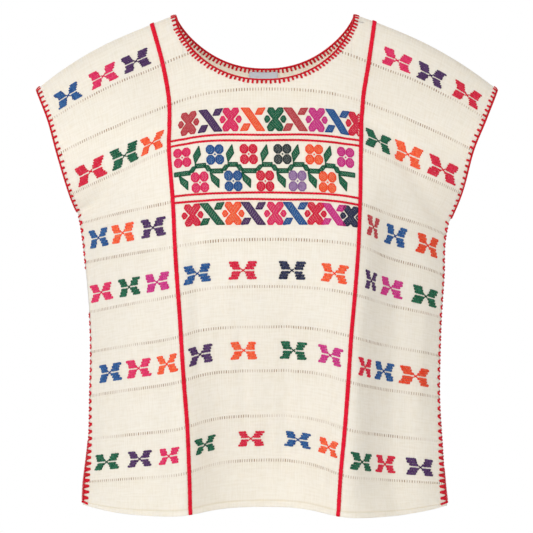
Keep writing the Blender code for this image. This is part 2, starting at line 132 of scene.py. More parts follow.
# Folds and creases: share across the panel (0 at the seam and 1 at the edge of a side panel, -1
# to 1 across the centre panel) and weft line at each end, half width as a share, and depth. A
# valley's depth is negative.
Fold = namedtuple("Fold", "panel top_share top_line end_share end_line width depth")
FOLDS = (
    Fold("right", 0.35, -3.0, 0.41, -11.6, 0.21, -20.0),
    Fold("right", 0.62, -3.8, 0.64, -11.6, 0.15, -6.5),
    Fold("right", 0.95, -3.9, 0.06, -2.2, 0.12, -9.0),
    Fold("right", 0.10, -0.5, 0.07, -2.2, 0.06, -3.0),
    Fold("left", 0.26, -5.6, 0.30, -11.6, 0.17, -9.0),
    Fold("left", 0.95, -3.8, 0.10, -2.4, 0.12, -8.0),
    Fold("left", 0.10, -0.6, 0.06, -2.2, 0.06, -3.0),
    Fold("centre", -0.66, -4.6, -0.70, -11.8, 0.17, -11.0),
    Fold("centre", 0.58, -6.4, 0.52, -11.6, 0.15, -7.0),
    Fold("centre", 0.16, -5.2, 0.22, -10.6, 0.08, -3.0),
    Fold("right", 0.92, 3.9, 0.15, 2.4, 0.13, -8.0),
    Fold("left", 0.92, 3.8, 0.20, 2.6, 0.13, -7.0),
    Fold("right", 0.42, 4.6, 0.36, 11.8, 0.18, -11.0),
    Fold("left", 0.36, 5.2, 0.44, 11.6, 0.17, -13.0),
    Fold("centre", -0.46, 5.0, -0.40, 11.8, 0.18, -10.0),
    Fold("centre", 0.34, 6.2, 0.42, 11.6, 0.16, -12.0),
    Fold("centre", 0.02, 7.4, 0.04, 11.4, 0.12, 5.0),
)
CREASES = (
    Fold("left", 0.62, -0.9, 0.40, -2.6, 0.05, -0.9),
    Fold("left", 0.86, -4.5, 0.46, -3.9, 0.05, -1.6),
    Fold("left", 0.90, -5.2, 0.60, -5.0, 0.05, 0.9),
    Fold("left", 0.58, -6.0, 0.64, -9.4, 0.07, -1.3),
    Fold("left", 0.12, -6.6, 0.10, -10.4, 0.05, -0.9),
    Fold("left", 0.80, -8.2, 0.84, -10.8, 0.06, 1.0),
    Fold("right", 0.64, -0.8, 0.44, -2.4, 0.05, -0.8),
    Fold("right", 0.88, -4.6, 0.52, -4.1, 0.05, -1.4),
    Fold("right", 0.78, -5.6, 0.74, -8.8, 0.06, 1.5),
    Fold("right", 0.62, -7.4, 0.66, -10.9, 0.05, -1.2),
    Fold("right", 0.16, -6.0, 0.14, -9.0, 0.05, -1.1),
    Fold("right", 0.50, -4.2, 0.54, -12.4, 0.09, -3.0),
    Fold("centre", -0.90, -2.3, -0.62, -4.6, 0.05, -0.9),
    Fold("centre", 0.90, -2.4, 0.66, -4.4, 0.05, -0.9),
    Fold("centre", -0.79, -3.9, -0.80, -8.6, 0.09, -2.8),
    Fold("centre", 0.24, -6.2, 0.20, -10.8, 0.08, -2.4),
    Fold("centre", -0.30, -6.6, -0.24, -9.8, 0.06, -1.6),
    Fold("centre", -0.46, -5.6, -0.42, -8.4, 0.05, 1.2),
    Fold("centre", 0.36, -7.0, 0.34, -10.8, 0.05, 1.1),
    Fold("centre", 0.76, -7.8, 0.78, -10.9, 0.05, -1.3),
    Fold("centre", 0.03, -8.4, 0.00, -10.9, 0.06, -1.2),
    Fold("left", 0.84, 4.6, 0.40, 4.0, 0.05, -1.5),
    Fold("left", 0.64, 6.2, 0.70, 9.6, 0.06, 1.2),
    Fold("left", 0.14, 6.4, 0.12, 10.4, 0.05, -1.0),
    Fold("right", 0.86, 4.7, 0.44, 4.2, 0.05, -1.4),
    Fold("right", 0.68, 6.8, 0.62, 10.6, 0.06, -1.1),
    Fold("right", 0.12, 5.6, 0.16, 9.2, 0.05, 1.0),
    Fold("centre", -0.74, 3.0, -0.66, 6.2, 0.06, -1.2),
    Fold("centre", 0.70, 3.2, 0.66, 5.8, 0.06, -1.1),
    Fold("centre", -0.16, 5.6, -0.12, 9.2, 0.06, -1.3),
    Fold("centre", 0.66, 7.6, 0.70, 10.8, 0.05, 1.2),
)
FOLD_FADE = 0.22

# Hem, turned up once: depth of the turning, how proud its second layer stands and how softly it
# ends, then the groove of its stitching
HEM_TURNING = 8.0
HEM_PROUD = 0.7
HEM_SOFTNESS = 0.7
HEM_GROOVE = 0.6
HEM_GROOVE_WIDTH = 1.3

# Weft lines: the hem's, the one that the neck hole stays above, and millimetres from one to the next
HEM_LINE = 11
SHARED_LINE = 2
LINE_LENGTH = 57.0

# How finely the form is worked out, and rows and columns of the cloth
SPAN_SAMPLES = 80
LINE_STEP = 0.03
ROWS_PER_LINE = 14
HEM_SHARE = 0.22
HEM_ROWS = 10
SIDE_COLUMNS = 44
CENTRE_COLUMNS = 64
NECK_COLUMNS = 74
YOKE_COLUMNS = 8
SHARES = {
    "left": np.linspace(0, 1, SIDE_COLUMNS + 1),
    "centre": np.linspace(0, 1, CENTRE_COLUMNS + 1),
    "right": np.linspace(0, 1, SIDE_COLUMNS + 1),
}
SPANS = {"left": 0, "centre": 1, "right": 2}


def rail(rows, line):
    """Point at a weft line on a smooth curve through rows of (line, x, y, z)."""
    table = np.array(rows, dtype=float)
    knots, places = table[:, 0], table[:, 1:]
    slopes = np.gradient(places, knots, axis=0)
    line = np.clip(np.asarray(line, dtype=float), knots[0], knots[-1])
    row = np.clip(np.searchsorted(knots, line, side="right") - 1, 0, len(knots) - 2)
    step = (knots[row + 1] - knots[row])[..., None]
    part = (line - knots[row])[..., None] / step
    start = places[row] * (1 + 2 * part) * (1 - part) ** 2 + step * slopes[row] * part * (1 - part) ** 2
    end = places[row + 1] * part ** 2 * (3 - 2 * part) + step * slopes[row + 1] * part ** 2 * (part - 1)
    return start + end


def make_rails():
    """The five lines that run from front hem to back hem: edges, seams and middle."""
    front = FRONT[::-1]
    return {
        "left seam": [(-r.line, r.left_x, r.seam_y, r.left_z) for r in front]
        + [(r.line, -r.seam_x, r.seam_y, r.seam_z) for r in BACK],
        "right seam": [(-r.line, r.right_x, r.seam_y, r.right_z) for r in front]
        + [(r.line, r.seam_x, r.seam_y, r.seam_z) for r in BACK],
        "middle": [(-r.line, (r.left_x + r.right_x) / 2, r.mid_y, r.mid_z) for r in front]
        + [(r.line, 0, r.mid_y, r.mid_z) for r in BACK],
        "left edge": [(-r.line, r.left_x, r.y, r.left_z) for r in EDGES[:0:-1]]
        + [(r.line, r.left_x, r.y, r.left_z) for r in EDGES],
        "right edge": [(-r.line, r.right_x, r.y, r.right_z) for r in EDGES[:0:-1]]
        + [(r.line, r.right_x, r.y, r.right_z) for r in EDGES],
    }


RAILS = make_rails()


def edge_point(side, line):
    """Outer edge of a side panel, opened out at the armhole."""
    place = rail(RAILS[side + " edge"], line)
    gape = np.sin(np.pi * np.clip(np.abs(line) / UNDERARM_LINE, 0, 1))
    outwards = -1 if side == "left" else 1
    place[..., 1] += np.sign(line) * ARMHOLE_HALF_GAPE * gape
    place[..., 0] -= outwards * BACK_EDGE_SET_IN * gape * (np.sign(line) > 0)
    return place


def unit(vectors):
    return vectors / np.linalg.norm(vectors, axis=-1, keepdims=True)


def fold_height(folds, panel, share, line):
    """How far folds push the cloth in or out."""
    height = np.zeros(np.broadcast(share, line).shape)
    for fold in folds:
        if fold.panel != panel:
            continue
        along = (line - fold.top_line) / (fold.end_line - fold.top_line)
        middle = fold.top_share + (fold.end_share - fold.top_share) * along
        fade = np.clip(along / FOLD_FADE, 0, 1) * np.clip((1 - along) / FOLD_FADE, 0, 1)
        fade = fade * fade * (3 - 2 * fade)
        height = height + fold.depth * fade * np.exp(-((share - middle) / fold.width) ** 2)
    return height


def side_span(side, line, share):
    """Row of a side panel from its seam to its edge."""
    seam, edge = rail(RAILS[side + " seam"], line), edge_point(side, line)
    ahead = rail(RAILS[side + " seam"], line + LINE_STEP) + edge_point(side, line + LINE_STEP)
    behind = rail(RAILS[side + " seam"], line - LINE_STEP) + edge_point(side, line - LINE_STEP)
    turn = 1 if side == "left" else -1
    outward = turn * unit(np.cross(ahead - behind, edge - seam))
    height = SIDE_BULGE * 4 * share * (1 - share) + fold_height(FOLDS, side, share, line[:, None])
    straight = seam[:, None] + (edge - seam)[:, None] * share[:, None]
    sag = HEM_SAG * np.clip(np.abs(line) - HEM_LINE + 1, 0, 1) ** 2
    straight[..., 2] -= sag[:, None] * 4 * share * (1 - share)
    return straight + outward[:, None] * height[..., None]


def centre_span(line, share):
    """Row of the centre panel from the left seam to the right one."""
    left, right = rail(RAILS["left seam"], line), rail(RAILS["right seam"], line)
    middle = rail(RAILS["middle"], line)
    ahead, behind = rail(RAILS["middle"], line + LINE_STEP), rail(RAILS["middle"], line - LINE_STEP)
    outward = unit(np.cross(right - left, ahead - behind))
    seam = np.where((share < 0)[:, None], left[:, None], right[:, None])
    row = np.empty(seam.shape)
    for axis, power in enumerate((1, DEPTH_POWER, DROP_POWER)):
        reach = seam[..., axis] - middle[:, None, axis]
        row[..., axis] = middle[:, None, axis] + reach * np.abs(share) ** power
    return row + outward[:, None] * fold_height(FOLDS, "centre", share, line[:, None])[..., None]


def rounded(rows):
    """Soften the creases where the panels meet, with the outer edges kept."""
    reach = int(3 * ROUNDING)
    weights = np.exp(-0.5 * (np.arange(-reach, reach + 1) / ROUNDING) ** 2)
    weights /= weights.sum()
    before = 2 * rows[:, :1] - rows[:, reach:0:-1]
    after = 2 * rows[:, -1:] - rows[:, -2:-reach - 2:-1]
    long = np.concatenate((before, rows, after), axis=1)
    return sum(w * long[:, i:i + rows.shape[1]] for i, w in enumerate(weights))


def cloth_rows(line):
    """Whole rows of cloth, from the left edge to the right edge, at the given weft lines."""
    line = np.clip(line, -HEM_LINE, HEM_LINE)
    part = np.linspace(0, 1, SPAN_SAMPLES + 1)
    left = side_span("left", line, part)[:, ::-1]
    centre = centre_span(line, np.linspace(-1, 1, SPAN_SAMPLES + 1))
    right = side_span("right", line, part)
    return rounded(np.concatenate((left, centre[:, 1:-1], right), axis=1))


def spread(rows, panel):
    """A panel's points on whole rows, at even shares of the cloth's own width."""
    first = SPAN_SAMPLES * SPANS[panel]
    span = rows[:, first:first + SPAN_SAMPLES + 1]
    if panel == "left":
        span = span[:, ::-1]
    steps = np.linalg.norm(np.diff(span, axis=1), axis=2)
    run = np.concatenate((np.zeros((len(span), 1)), np.cumsum(steps, axis=1)), axis=1)
    made = np.empty((len(span), len(SHARES[panel]), 3))
    for row, (places, lengths) in enumerate(zip(span, run)):
        for axis in range(3):
            made[row, :, axis] = np.interp(SHARES[panel] * lengths[-1], lengths, places[:, axis])
    return made


def cloth_lines():
    """Weft lines of the fine rows, closer together in the hems."""
    even = np.arange(0, HEM_LINE - HEM_SHARE, 1 / ROWS_PER_LINE)
    half = np.concatenate((even, np.linspace(HEM_LINE - HEM_SHARE, HEM_LINE, HEM_ROWS + 1)))
    return np.concatenate((-half[:0:-1], half))


LINES = cloth_lines()


def outward_directions(whole):
    """Outward directions of a whole grid of cloth, taken across the seams so that panels agree."""
    return unit(np.cross(np.gradient(whole, axis=1), np.gradient(whole, axis=0)))


def hem_height(line):
    """The turned-up hem stands a little proud, with a groove along its stitching."""
    from_hem = (HEM_LINE - np.abs(line)) * LINE_LENGTH
    past = from_hem - HEM_TURNING
    turned = (1 - np.tanh(past / (2 * HEM_SOFTNESS))) / 2
    return HEM_PROUD * turned - HEM_GROOVE * np.exp(-(past / HEM_GROOVE_WIDTH) ** 2)


def make_cloth():
    """Points and outward directions of the three panels' outer faces, by row and column."""
    rows = cloth_rows(LINES)
    sheets = [spread(rows, panel) for panel in SPANS]
    whole = np.concatenate((sheets[0][:, ::-1], sheets[1][:, 1:], sheets[2][:, 1:]), axis=1)
    heights = []
    for panel in SPANS:
        share = SHARES[panel] if panel != "centre" else 2 * SHARES[panel] - 1
        heights.append(fold_height(CREASES, panel, share[None, :], LINES[:, None]))
    height = np.concatenate((heights[0][:, ::-1], heights[1][:, 1:], heights[2][:, 1:]), axis=1)
    height += hem_height(LINES)[:, None]
    whole = whole + outward_directions(whole) * height[..., None]
    normals = outward_directions(whole)
    first, last = SIDE_COLUMNS, SIDE_COLUMNS + CENTRE_COLUMNS
    cut = {
        "left": (slice(first, None, -1), slice(None)),
        "centre": (slice(first, last + 1), slice(None)),
        "right": (slice(last, None), slice(None)),
    }
    return {panel: (whole[:, part[0]], normals[:, part[0]]) for panel, part in cut.items()}


CLOTH = make_cloth()


def on_cloth(panel, share, line):
    """Points and outward directions of the cloth's outer face at the given places."""
    points, normals = CLOTH[panel]
    share, line = np.broadcast_arrays(np.asarray(share, float), np.asarray(line, float))
    column = np.clip(share, 0, 1) * (points.shape[1] - 1)
    row = np.interp(line, LINES, np.arange(len(LINES)))
    i = np.clip(row.astype(int), 0, len(LINES) - 2)
    j = np.clip(column.astype(int), 0, points.shape[1] - 2)
    down, across = (row - i)[..., None], (column - j)[..., None]

    def mixed(table):
        upper = table[i, j] * (1 - across) + table[i, j + 1] * across
        lower = table[i + 1, j] * (1 - across) + table[i + 1, j + 1] * across
        return upper * (1 - down) + lower * down

    return mixed(points), unit(mixed(normals))


def size_at(panel, share, line):
    """Millimetres for each share and for each weft line, near a place."""
    step = LINE_STEP
    low, high = np.clip(share - step, 0, 1), np.clip(share + step, 0, 1)
    across = np.linalg.norm(on_cloth(panel, high, line)[0] - on_cloth(panel, low, line)[0], axis=-1)
    above, below = np.clip(line - step, -HEM_LINE, HEM_LINE), np.clip(line + step, -HEM_LINE, HEM_LINE)
    along = np.linalg.norm(on_cloth(panel, share, below)[0] - on_cloth(panel, share, above)[0], axis=-1)
    return across / (high - low), along / (below - above)


def find_root(value, low, high, steps=30):
    """Where a rising value passes zero, for arrays of brackets."""
    for _ in range(steps):
        middle = (low + high) / 2
        above = value(middle) > 0
        high = np.where(above, middle, high)
        low = np.where(above, low, middle)
    return (low + high) / 2


def neck_shares():
    """Shares of the centre panel at the two neck points."""

    def share_at(x):
        low = np.zeros(1)
        return find_root(lambda share: on_cloth("centre", share, 0.0)[0][:, 0] - x, low, low + 1)[0]

    return share_at(NECK_SHIFT - NECK_HALF_WIDTH), share_at(NECK_SHIFT + NECK_HALF_WIDTH)


NECK_SHARES = neck_shares()


def neck_line(share, face):
    """Weft line where the cut neck edge crosses a column of the centre panel."""
    depth = FRONT_NECK_DEPTH if face < 0 else BACK_NECK_DEPTH
    power = FRONT_NECK_POWER if face < 0 else BACK_NECK_POWER

    def outside(line):
        place = on_cloth("centre", share, face * line)[0]
        aside = np.abs(place[:, 0] - NECK_SHIFT) / NECK_HALF_WIDTH
        down = np.maximum(-place[:, 2], 0) / depth
        return aside ** NECK_ACROSS_POWER + down ** power - 1

    low = np.zeros(len(share))
    return face * find_root(outside, low, low + SHARED_LINE)


# ---------------------------------------------------------------- making cloth pieces

SEAM_GAP = 0.15
WELD_REACH = 0.02


def add_object(name, mesh, material):
    """Link a finished mesh as a named piece with its material."""
    mesh.materials.append(material)
    piece = bpy.data.objects.new(name, mesh)
    bpy.context.scene.collection.objects.link(piece)
    return piece


def lay_grid(name, points, maps, flip=False, skip_row=None):
    """Cloth mesh from a grid of points, with UV maps given as grids of their own."""
    rows, columns = points.shape[:2]
    bm = bmesh.new()
    bmesh.ops.create_grid(bm, x_segments=columns - 1, y_segments=rows - 1, size=1)
    places = {}
    for vertex in bm.verts:
        row = round((vertex.co.y + 1) / 2 * (rows - 1))
        column = round((vertex.co.x + 1) / 2 * (columns - 1))
        places[vertex] = (row, column)
        vertex.co = points[row, column] * METRES
    layers = [(bm.loops.layers.uv.new(map_name), values) for map_name, values in maps.items()]
    for face in bm.faces:
        face.smooth = True
        for corner in face.loops:
            for layer, values in layers:
                corner[layer].uv = values[places[corner.vert]]
    if skip_row is not None:
        gone = [f for f in bm.faces if {places[v][0] for v in f.verts} == {skip_row, skip_row + 1}]
        bmesh.ops.delete(bm, geom=gone, context="FACES")
        bmesh.ops.remove_doubles(bm, verts=bm.verts, dist=WELD_REACH * METRES)
    if flip:
        bmesh.ops.reverse_faces(bm, faces=bm.faces)
    mesh = bpy.data.meshes.new(name)
    bm.to_mesh(mesh)
    bm.free()
    return mesh


def give_wall(piece, thickness):
    """Give a sheet its thickness, inwards from its outer face."""
    wall = piece.modifiers.new("wall", "SOLIDIFY")
    wall.thickness = thickness * METRES
    wall.offset = -1
    wall.use_even_offset = True


def cloth_maps(share, line, width):
    """A map that fills the square, for finishes, and one in metres of cloth, for the weave."""
    share, line = np.broadcast_arrays(share, line)
    whole = np.stack((share, (line + HEM_LINE) / (2 * HEM_LINE)), axis=-1)
    weave = np.stack((share * width, line * LINE_LENGTH), axis=-1) * METRES
    return {"OFBake": whole, "Weave": weave}


def drawn_in(points, column, neighbour):
    """Move a column of points a little along the rows, clear of the panel that is sewn to it."""
    points[:, column] += unit(points[:, neighbour] - points[:, column]) * SEAM_GAP


def make_side_panel(side, material):
    shares = SHARES[side]
    points = on_cloth(side, shares[None, :], LINES[:, None])[0]
    drawn_in(points, 0, 1)
    drawn_in(points, -1, -2)
    maps = cloth_maps(shares[None, :], LINES[:, None], SIDE_CUT[0])
    mesh = lay_grid("woven_panel_" + side, points, maps, flip=side == "left")
    piece = add_object("woven_panel_" + side, mesh, material)
    give_wall(piece, WALL)
    return piece


def make_centre_panel(material):
    """Centre panel with its neck hole. Front and back are one strip outside the neck points."""
    left, right = NECK_SHARES
    turn = np.linspace(0, math.pi, NECK_COLUMNS + 1)
    neck = (left + right) / 2 - (right - left) / 2 * np.cos(turn)
    yoke = np.arange(YOKE_COLUMNS) / YOKE_COLUMNS
    shares = np.concatenate((left * yoke, neck, 1 - (1 - right) * yoke[::-1]))
    inside = slice(YOKE_COLUMNS + 1, len(shares) - YOKE_COLUMNS - 1)
    half = LINES[len(LINES) // 2:]
    lines = []
    for face in (-1, 1):
        top = np.zeros(len(shares))
        top[inside] = neck_line(shares[inside], face)
        part = np.clip(1 - half / SHARED_LINE, 0, 1)
        lines.append(top * part[:, None] + face * half[:, None])
    lines = np.concatenate((lines[0][::-1], lines[1]))
    points = on_cloth("centre", shares[None, :], lines)[0]
    drawn_in(points, 0, 1)
    drawn_in(points, -1, -2)
    maps = cloth_maps(shares[None, :], lines, CENTRE_CUT[0])
    mesh = lay_grid("woven_panel_centre", points, maps, skip_row=len(half) - 1)
    piece = add_object("woven_panel_centre", mesh, material)
    give_wall(piece, WALL)
    return piece


# ---------------------------------------------------------------- stitches

STITCH_SIDES = 6
STITCH_SHOULDER = 0.72
BURIED = 0.35
# Stitch tips are darkened by this factor: painted shade where the thread goes into the cloth
TIP_PAINTED_SHADE = 0.2
# Stitches end this share short of a panel's own edges
EDGE_SHARE = 0.004
# A stitch's cell of the square finishes map: its margin and its filled part
CELL_MARGIN = 0.1
CELL_FILL = 0.8
TWIST_STEP = 0.37


def base_stitch():
    """One rounded stitch of unit size along Z: its points, its faces, and where each corner lies
    round it and along it."""
    bm = bmesh.new()
    bmesh.ops.create_uvsphere(bm, u_segments=STITCH_SIDES, v_segments=3, radius=1)
    for vertex in bm.verts:
        reach = math.hypot(vertex.co.x, vertex.co.y)
        if reach > 0.1:
            vertex.co.x /= reach
            vertex.co.y /= reach
            vertex.co.z = math.copysign(STITCH_SHOULDER, vertex.co.z)
    points = np.array([v.co for v in bm.verts])
    faces, corners = [], []
    for face in bm.faces:
        middle = face.calc_center_median()
        towards = math.atan2(middle.y, middle.x)
        faces.append([v.index for v in face.verts])
        for vertex in face.verts:
            turn = math.atan2(vertex.co.y, vertex.co.x) - towards
            if abs(vertex.co.z) > 0.9:
                turn = 0.0
            turn = (turn + math.pi) % (2 * math.pi) - math.pi
            corners.append(((towards + turn) / (2 * math.pi) + 0.5, vertex.co.z / 2 + 0.5))
    bm.free()
    return points, faces, np.array(corners)


BASE_STITCH = base_stitch()
work = {}


def sew(colour, start, end, up, width, height, shade):
    """Add stitches from start to end points. width and height are half sizes, and shade runs from 0
    for deep to 1 for light."""
    count = len(start)
    sizes = [np.broadcast_to(value, count) for value in (width, height, shade)]
    work.setdefault(colour, []).append(np.column_stack((start, end, up, *sizes)))


def join_stitches(name, rows, material):
    """One mesh of all the stitches in a table of rows from sew()."""
    points, faces, corners = BASE_STITCH
    start, end, up = rows[:, 0:3], rows[:, 3:6], rows[:, 6:9]
    width, height, shade = rows[:, 9], rows[:, 10], rows[:, 11]
    along = end - start
    length = np.linalg.norm(along, axis=1, keepdims=True)
    along = along / length
    up = unit(up - (up * along).sum(1, keepdims=True) * along)
    side = np.cross(up, along)
    middle = (start + end) / 2
    made = middle[:, None] + along[:, None] * points[None, :, 2:] * length[:, None] / 2
    made = made + side[:, None] * points[None, :, 0:1] * width[:, None, None]
    made = made + up[:, None] * points[None, :, 1:2] * height[:, None, None]
    count = len(rows)
    numbers = []
    for stitch in range(count):
        shift = stitch * len(points)
        numbers.extend([v + shift for v in face] for face in faces)
    mesh = bpy.data.meshes.new(name)
    mesh.from_pydata((made.reshape(-1, 3) * METRES).tolist(), [], numbers)
    mesh.shade_smooth()
    across = math.ceil(math.sqrt(count))
    cell = np.stack((np.arange(count) % across, np.arange(count) // across), axis=1)
    square = (cell[:, None] + CELL_MARGIN + CELL_FILL * np.clip(corners[None], 0, 1)) / across
    strand = np.repeat(corners[None], count, axis=0)
    strand[..., 1] *= length * METRES
    strand[..., 0] += (np.arange(count) * TWIST_STEP % 1)[:, None]
    for map_name, values in (("OFBake", square), ("Strand", strand)):
        layer = mesh.uv_layers.new(name=map_name)
        layer.data.foreach_set("uv", values.astype(np.float32).ravel())
    attribute = mesh.attributes.new("shade", "FLOAT", "POINT")
    # Painted shade at each stitch's tips
    inner = np.where(np.abs(points[:, 2]) > 0.9, TIP_PAINTED_SHADE, 1.0)
    attribute.data.foreach_set("value", np.outer(shade, inner).astype(np.float32).ravel())
    return add_object(name, mesh, material)


def lay_stitches(colour, panel, share, line, strokes, width, height, shade, lift=0.0):
    """Sew strokes given as (across, down, across, down) in millimetres from a place on the cloth.
    Across runs to the viewer's right, and down runs towards the hem."""
    strokes = np.asarray(strokes, float)
    per_share, per_line = size_at(panel, np.array([share]), np.array([line]))
    way = -1 if panel == "left" else 1
    face = np.sign(line)
    shares = share + way * strokes[:, 0::2] / per_share
    lines = line + face * strokes[:, 1::2] / per_line
    inside = (shares.min(axis=1) > EDGE_SHARE) & (shares.max(axis=1) < 1 - EDGE_SHARE)
    shares, lines = shares[inside], lines[inside]
    start, up_start = on_cloth(panel, shares[:, 0], lines[:, 0])
    end, up_end = on_cloth(panel, shares[:, 1], lines[:, 1])
    up = unit(up_start + up_end)
    raised = up * (lift + height * (1 - BURIED))
    shade = np.broadcast_to(shade, len(strokes))[inside]
    sew(colour, start + raised, end + raised, up, width, height, shade)


# ---------------------------------------------------------------- brocade crosses

# A leaf of a brocade cross reaches from near to far, at its row next to the middle and at its tip
LEAF_FOOT = (2.2, 13.2)
LEAF_TIP = (5.2, 16.6)
LEAF_HEIGHT = 10.8
CROSS_GAP = 1.9
CROSS_PITCH = 1.2
ROW_JAG = 1.15
STROKE_SLANT = 0.42
SLANT_SPREAD = 0.14
STROKE_SPREAD = 0.16
STROKE_OVERLAP = 0.2
# Strokes at the ends of a row are this much shorter
END_SHORTENED = 0.35
CROSS_WIDTH = 0.78
CROSS_HEIGHT = 0.6
# The two threads that tie the leaves together reach this far across and down
TIE_REACH = (2.6, 2.2)
TIE_SHADE = 0.05


def cross_strokes(wide, tall, rows):
    """Warp-wise strokes of one brocade cross, and their shades: ends of rows are deep, painted shade where
    the thread dives into the cloth.
    """
    strokes, shades = [], []
    high_row = LEAF_HEIGHT * tall / rows
    for side in (-1, 1):
        for half in (-1, 1):
            for row in range(rows):
                part = row / (rows - 1)
                near, far = (wide * (a + (b - a) * part) for a, b in zip(LEAF_FOOT, LEAF_TIP))
                near += chance.uniform(-0.4 * ROW_JAG, ROW_JAG)
                far += chance.uniform(-ROW_JAG, ROW_JAG)
                top = CROSS_GAP / 2 + high_row * row
                count = round((far - near) / CROSS_PITCH)
                for n in range(count):
                    across = near + (far - near) * (n + 0.5) / count
                    at_end = n in (0, count - 1)
                    slant = chance.normal(0, SLANT_SPREAD) - STROKE_SLANT
                    shorter = END_SHORTENED * at_end - STROKE_OVERLAP
                    low = top + chance.normal(0, STROKE_SPREAD) + shorter
                    high = top + high_row + chance.normal(0, STROKE_SPREAD) - shorter
                    strokes.append((side * across - slant, half * low, side * across + slant, half * high))
                    # Row ends are deep as painted shade where the thread turns into the cloth; inner strokes
                    # vary at random
                    shades.append(chance.uniform(0, 0.2) if at_end else chance.uniform(0.25, 1.0))
    aside, below = TIE_REACH
    for lean in (-wide, wide):
        strokes.append((-aside * lean, -below, aside * lean, below))
        shades.append(TIE_SHADE)
    return np.array(strokes), np.array(shades)


# Rows of crosses: weft line, height of a cross, rows in each leaf, then the share of each cross
# across the panel, its width, and its colour
Band = namedtuple("Band", "panel line tall rows crosses")
BANDS = (
    Band("left", 0.73, 1.12, 4,
         ((0.20, 1.12, "purple"), (0.475, 1.14, "pink"), (0.785, 1.05, "blue"))),
    Band("left", 2.71, 1.08, 4,
         ((0.152, 1.00, "orange"), (0.41, 1.24, "green"), (0.735, 1.42, "crimson"))),
    Band("left", 4.49, 1.00, 3,
         ((0.18, 1.14, "purple"), (0.49, 1.26, "orange"), (0.78, 1.26, "blue"))),
    Band("left", 5.65, 0.95, 3,
         ((0.17, 1.14, "magenta"), (0.46, 1.18, "green"), (0.805, 1.48, "pink"))),
    Band("left", 7.55, 0.97, 3,
         ((0.14, 0.94, "orange"), (0.42, 1.15, "pink"), (0.73, 1.30, "blue"))),
    Band("left", 9.55, 0.84, 3,
         ((0.165, 0.90, "pink"), (0.43, 1.05, "purple"), (0.75, 1.34, "green"))),
    Band("right", 0.74, 1.14, 4,
         ((0.215, 1.20, "pink"), (0.49, 1.13, "purple"), (0.797, 1.20, "crimson"))),
    Band("right", 2.71, 1.08, 4,
         ((0.15, 1.12, "green"), (0.428, 1.18, "orange"), (0.76, 1.42, "crimson"))),
    Band("right", 4.43, 1.06, 3,
         ((0.145, 0.72, "dusty_red"), (0.43, 1.06, "blue"), (0.765, 1.26, "deep_orange"))),
    Band("right", 5.62, 0.97, 3,
         ((0.16, 0.80, "purple"), (0.44, 1.26, "magenta"), (0.78, 1.38, "green"))),
    Band("right", 7.60, 0.97, 3,
         ((0.16, 0.80, "crimson"), (0.415, 1.10, "blue"), (0.712, 1.36, "deep_orange"))),
    Band("right", 9.63, 0.92, 3,
         ((0.18, 1.20, "green"), (0.45, 0.97, "crimson"), (0.752, 1.22, "purple"))),
    Band("centre", 5.64, 0.98, 3,
         ((0.115, 1.03, "blue"), (0.37, 1.03, "crimson"), (0.64, 1.03, "navy"), (0.875, 0.98, "orange"))),
    Band("centre", 7.54, 0.98, 3,
         ((0.115, 0.95, "purple"), (0.37, 0.98, "orange"), (0.66, 1.01, "green"), (0.88, 0.97, "magenta"))),
    Band("centre", 9.51, 0.82, 3,
         ((0.12, 0.95, "green"), (0.41, 1.00, "crimson"), (0.69, 1.02, "blue"), (0.90, 0.90, "orange"))),
)
BACK_CENTRE_BANDS = (
    Band("centre", 2.66, 1.05, 4,
         ((0.13, 1.0, "orange"), (0.38, 1.0, "green"), (0.63, 1.0, "purple"), (0.88, 1.0, "pink"))),
    Band("centre", 3.90, 1.0, 3,
         ((0.13, 1.0, "blue"), (0.38, 1.0, "magenta"), (0.63, 1.0, "crimson"), (0.88, 1.0, "green"))),
)


def weave_crosses():
    """Brocade crosses on the front, and the same rows with their colours in turn on the back."""
    for band in BANDS:
        for number, (share, wide, colour) in enumerate(band.crosses):
            weave_cross(band, share, wide, -1, colour)
            other = band.crosses[(number + 1) % len(band.crosses)]
            weave_cross(band, share, 1.0, 1, other[2])
    for band in BACK_CENTRE_BANDS:
        for share, wide, colour in band.crosses:
            weave_cross(band, share, wide, 1, colour)


def weave_cross(band, share, wide, face, colour):
    strokes, shades = cross_strokes(wide, band.tall, band.rows)
    line = face * band.line
    lay_stitches(colour, band.panel, share, line, strokes, CROSS_WIDTH, CROSS_HEIGHT, shades)


# ---------------------------------------------------------------- chest embroidery

# Outlines in millimetres from a motif's middle, across and down
FLOWER_BODY = (
    (-8.8, -16.0), (-3.4, -16.0), (0, -11.0), (3.4, -16.0), (8.8, -16.0), (10.4, -11.2), (7.5, -6.2),
    (3.2, 0), (7.7, 5.8), (10.3, 11.2), (8.6, 16.0), (3.5, 16.0), (0, 11.6), (-3.5, 16.0),
    (-8.6, 16.0), (-10.3, 11.2), (-7.7, 5.8), (-3.2, 0), (-7.5, -6.2), (-10.4, -11.2),
)
FLOWER_PETAL = ((6.0, 0), (8.8, -4.7), (11.8, -4.9), (14.2, 0), (11.8, 5.2), (8.8, 4.4))
CROSS_BAR = ((-15.6, -15.8), (-5.2, -15.8), (15.8, 15.8), (5.4, 15.8))
CROSS_ARM = ((2.7, -6.2), (6.2, -15.2), (15.8, -15.8), (11.2, -6.0))
LEAF_UP = ((0, 0), (-2.1, -11.4), (6.3, -24.2), (8.4, -12.2))
LEAF_DOWN = ((0, 0), (1.2, 11.4), (10.6, 21.8), (11.8, 10.2))
PETAL_PLACE = (5.65, 6.9)
PETAL_SIZE = (5.85, 6.8)
STEM_HALF = 2.8
STEM_SLOPE = 6.4

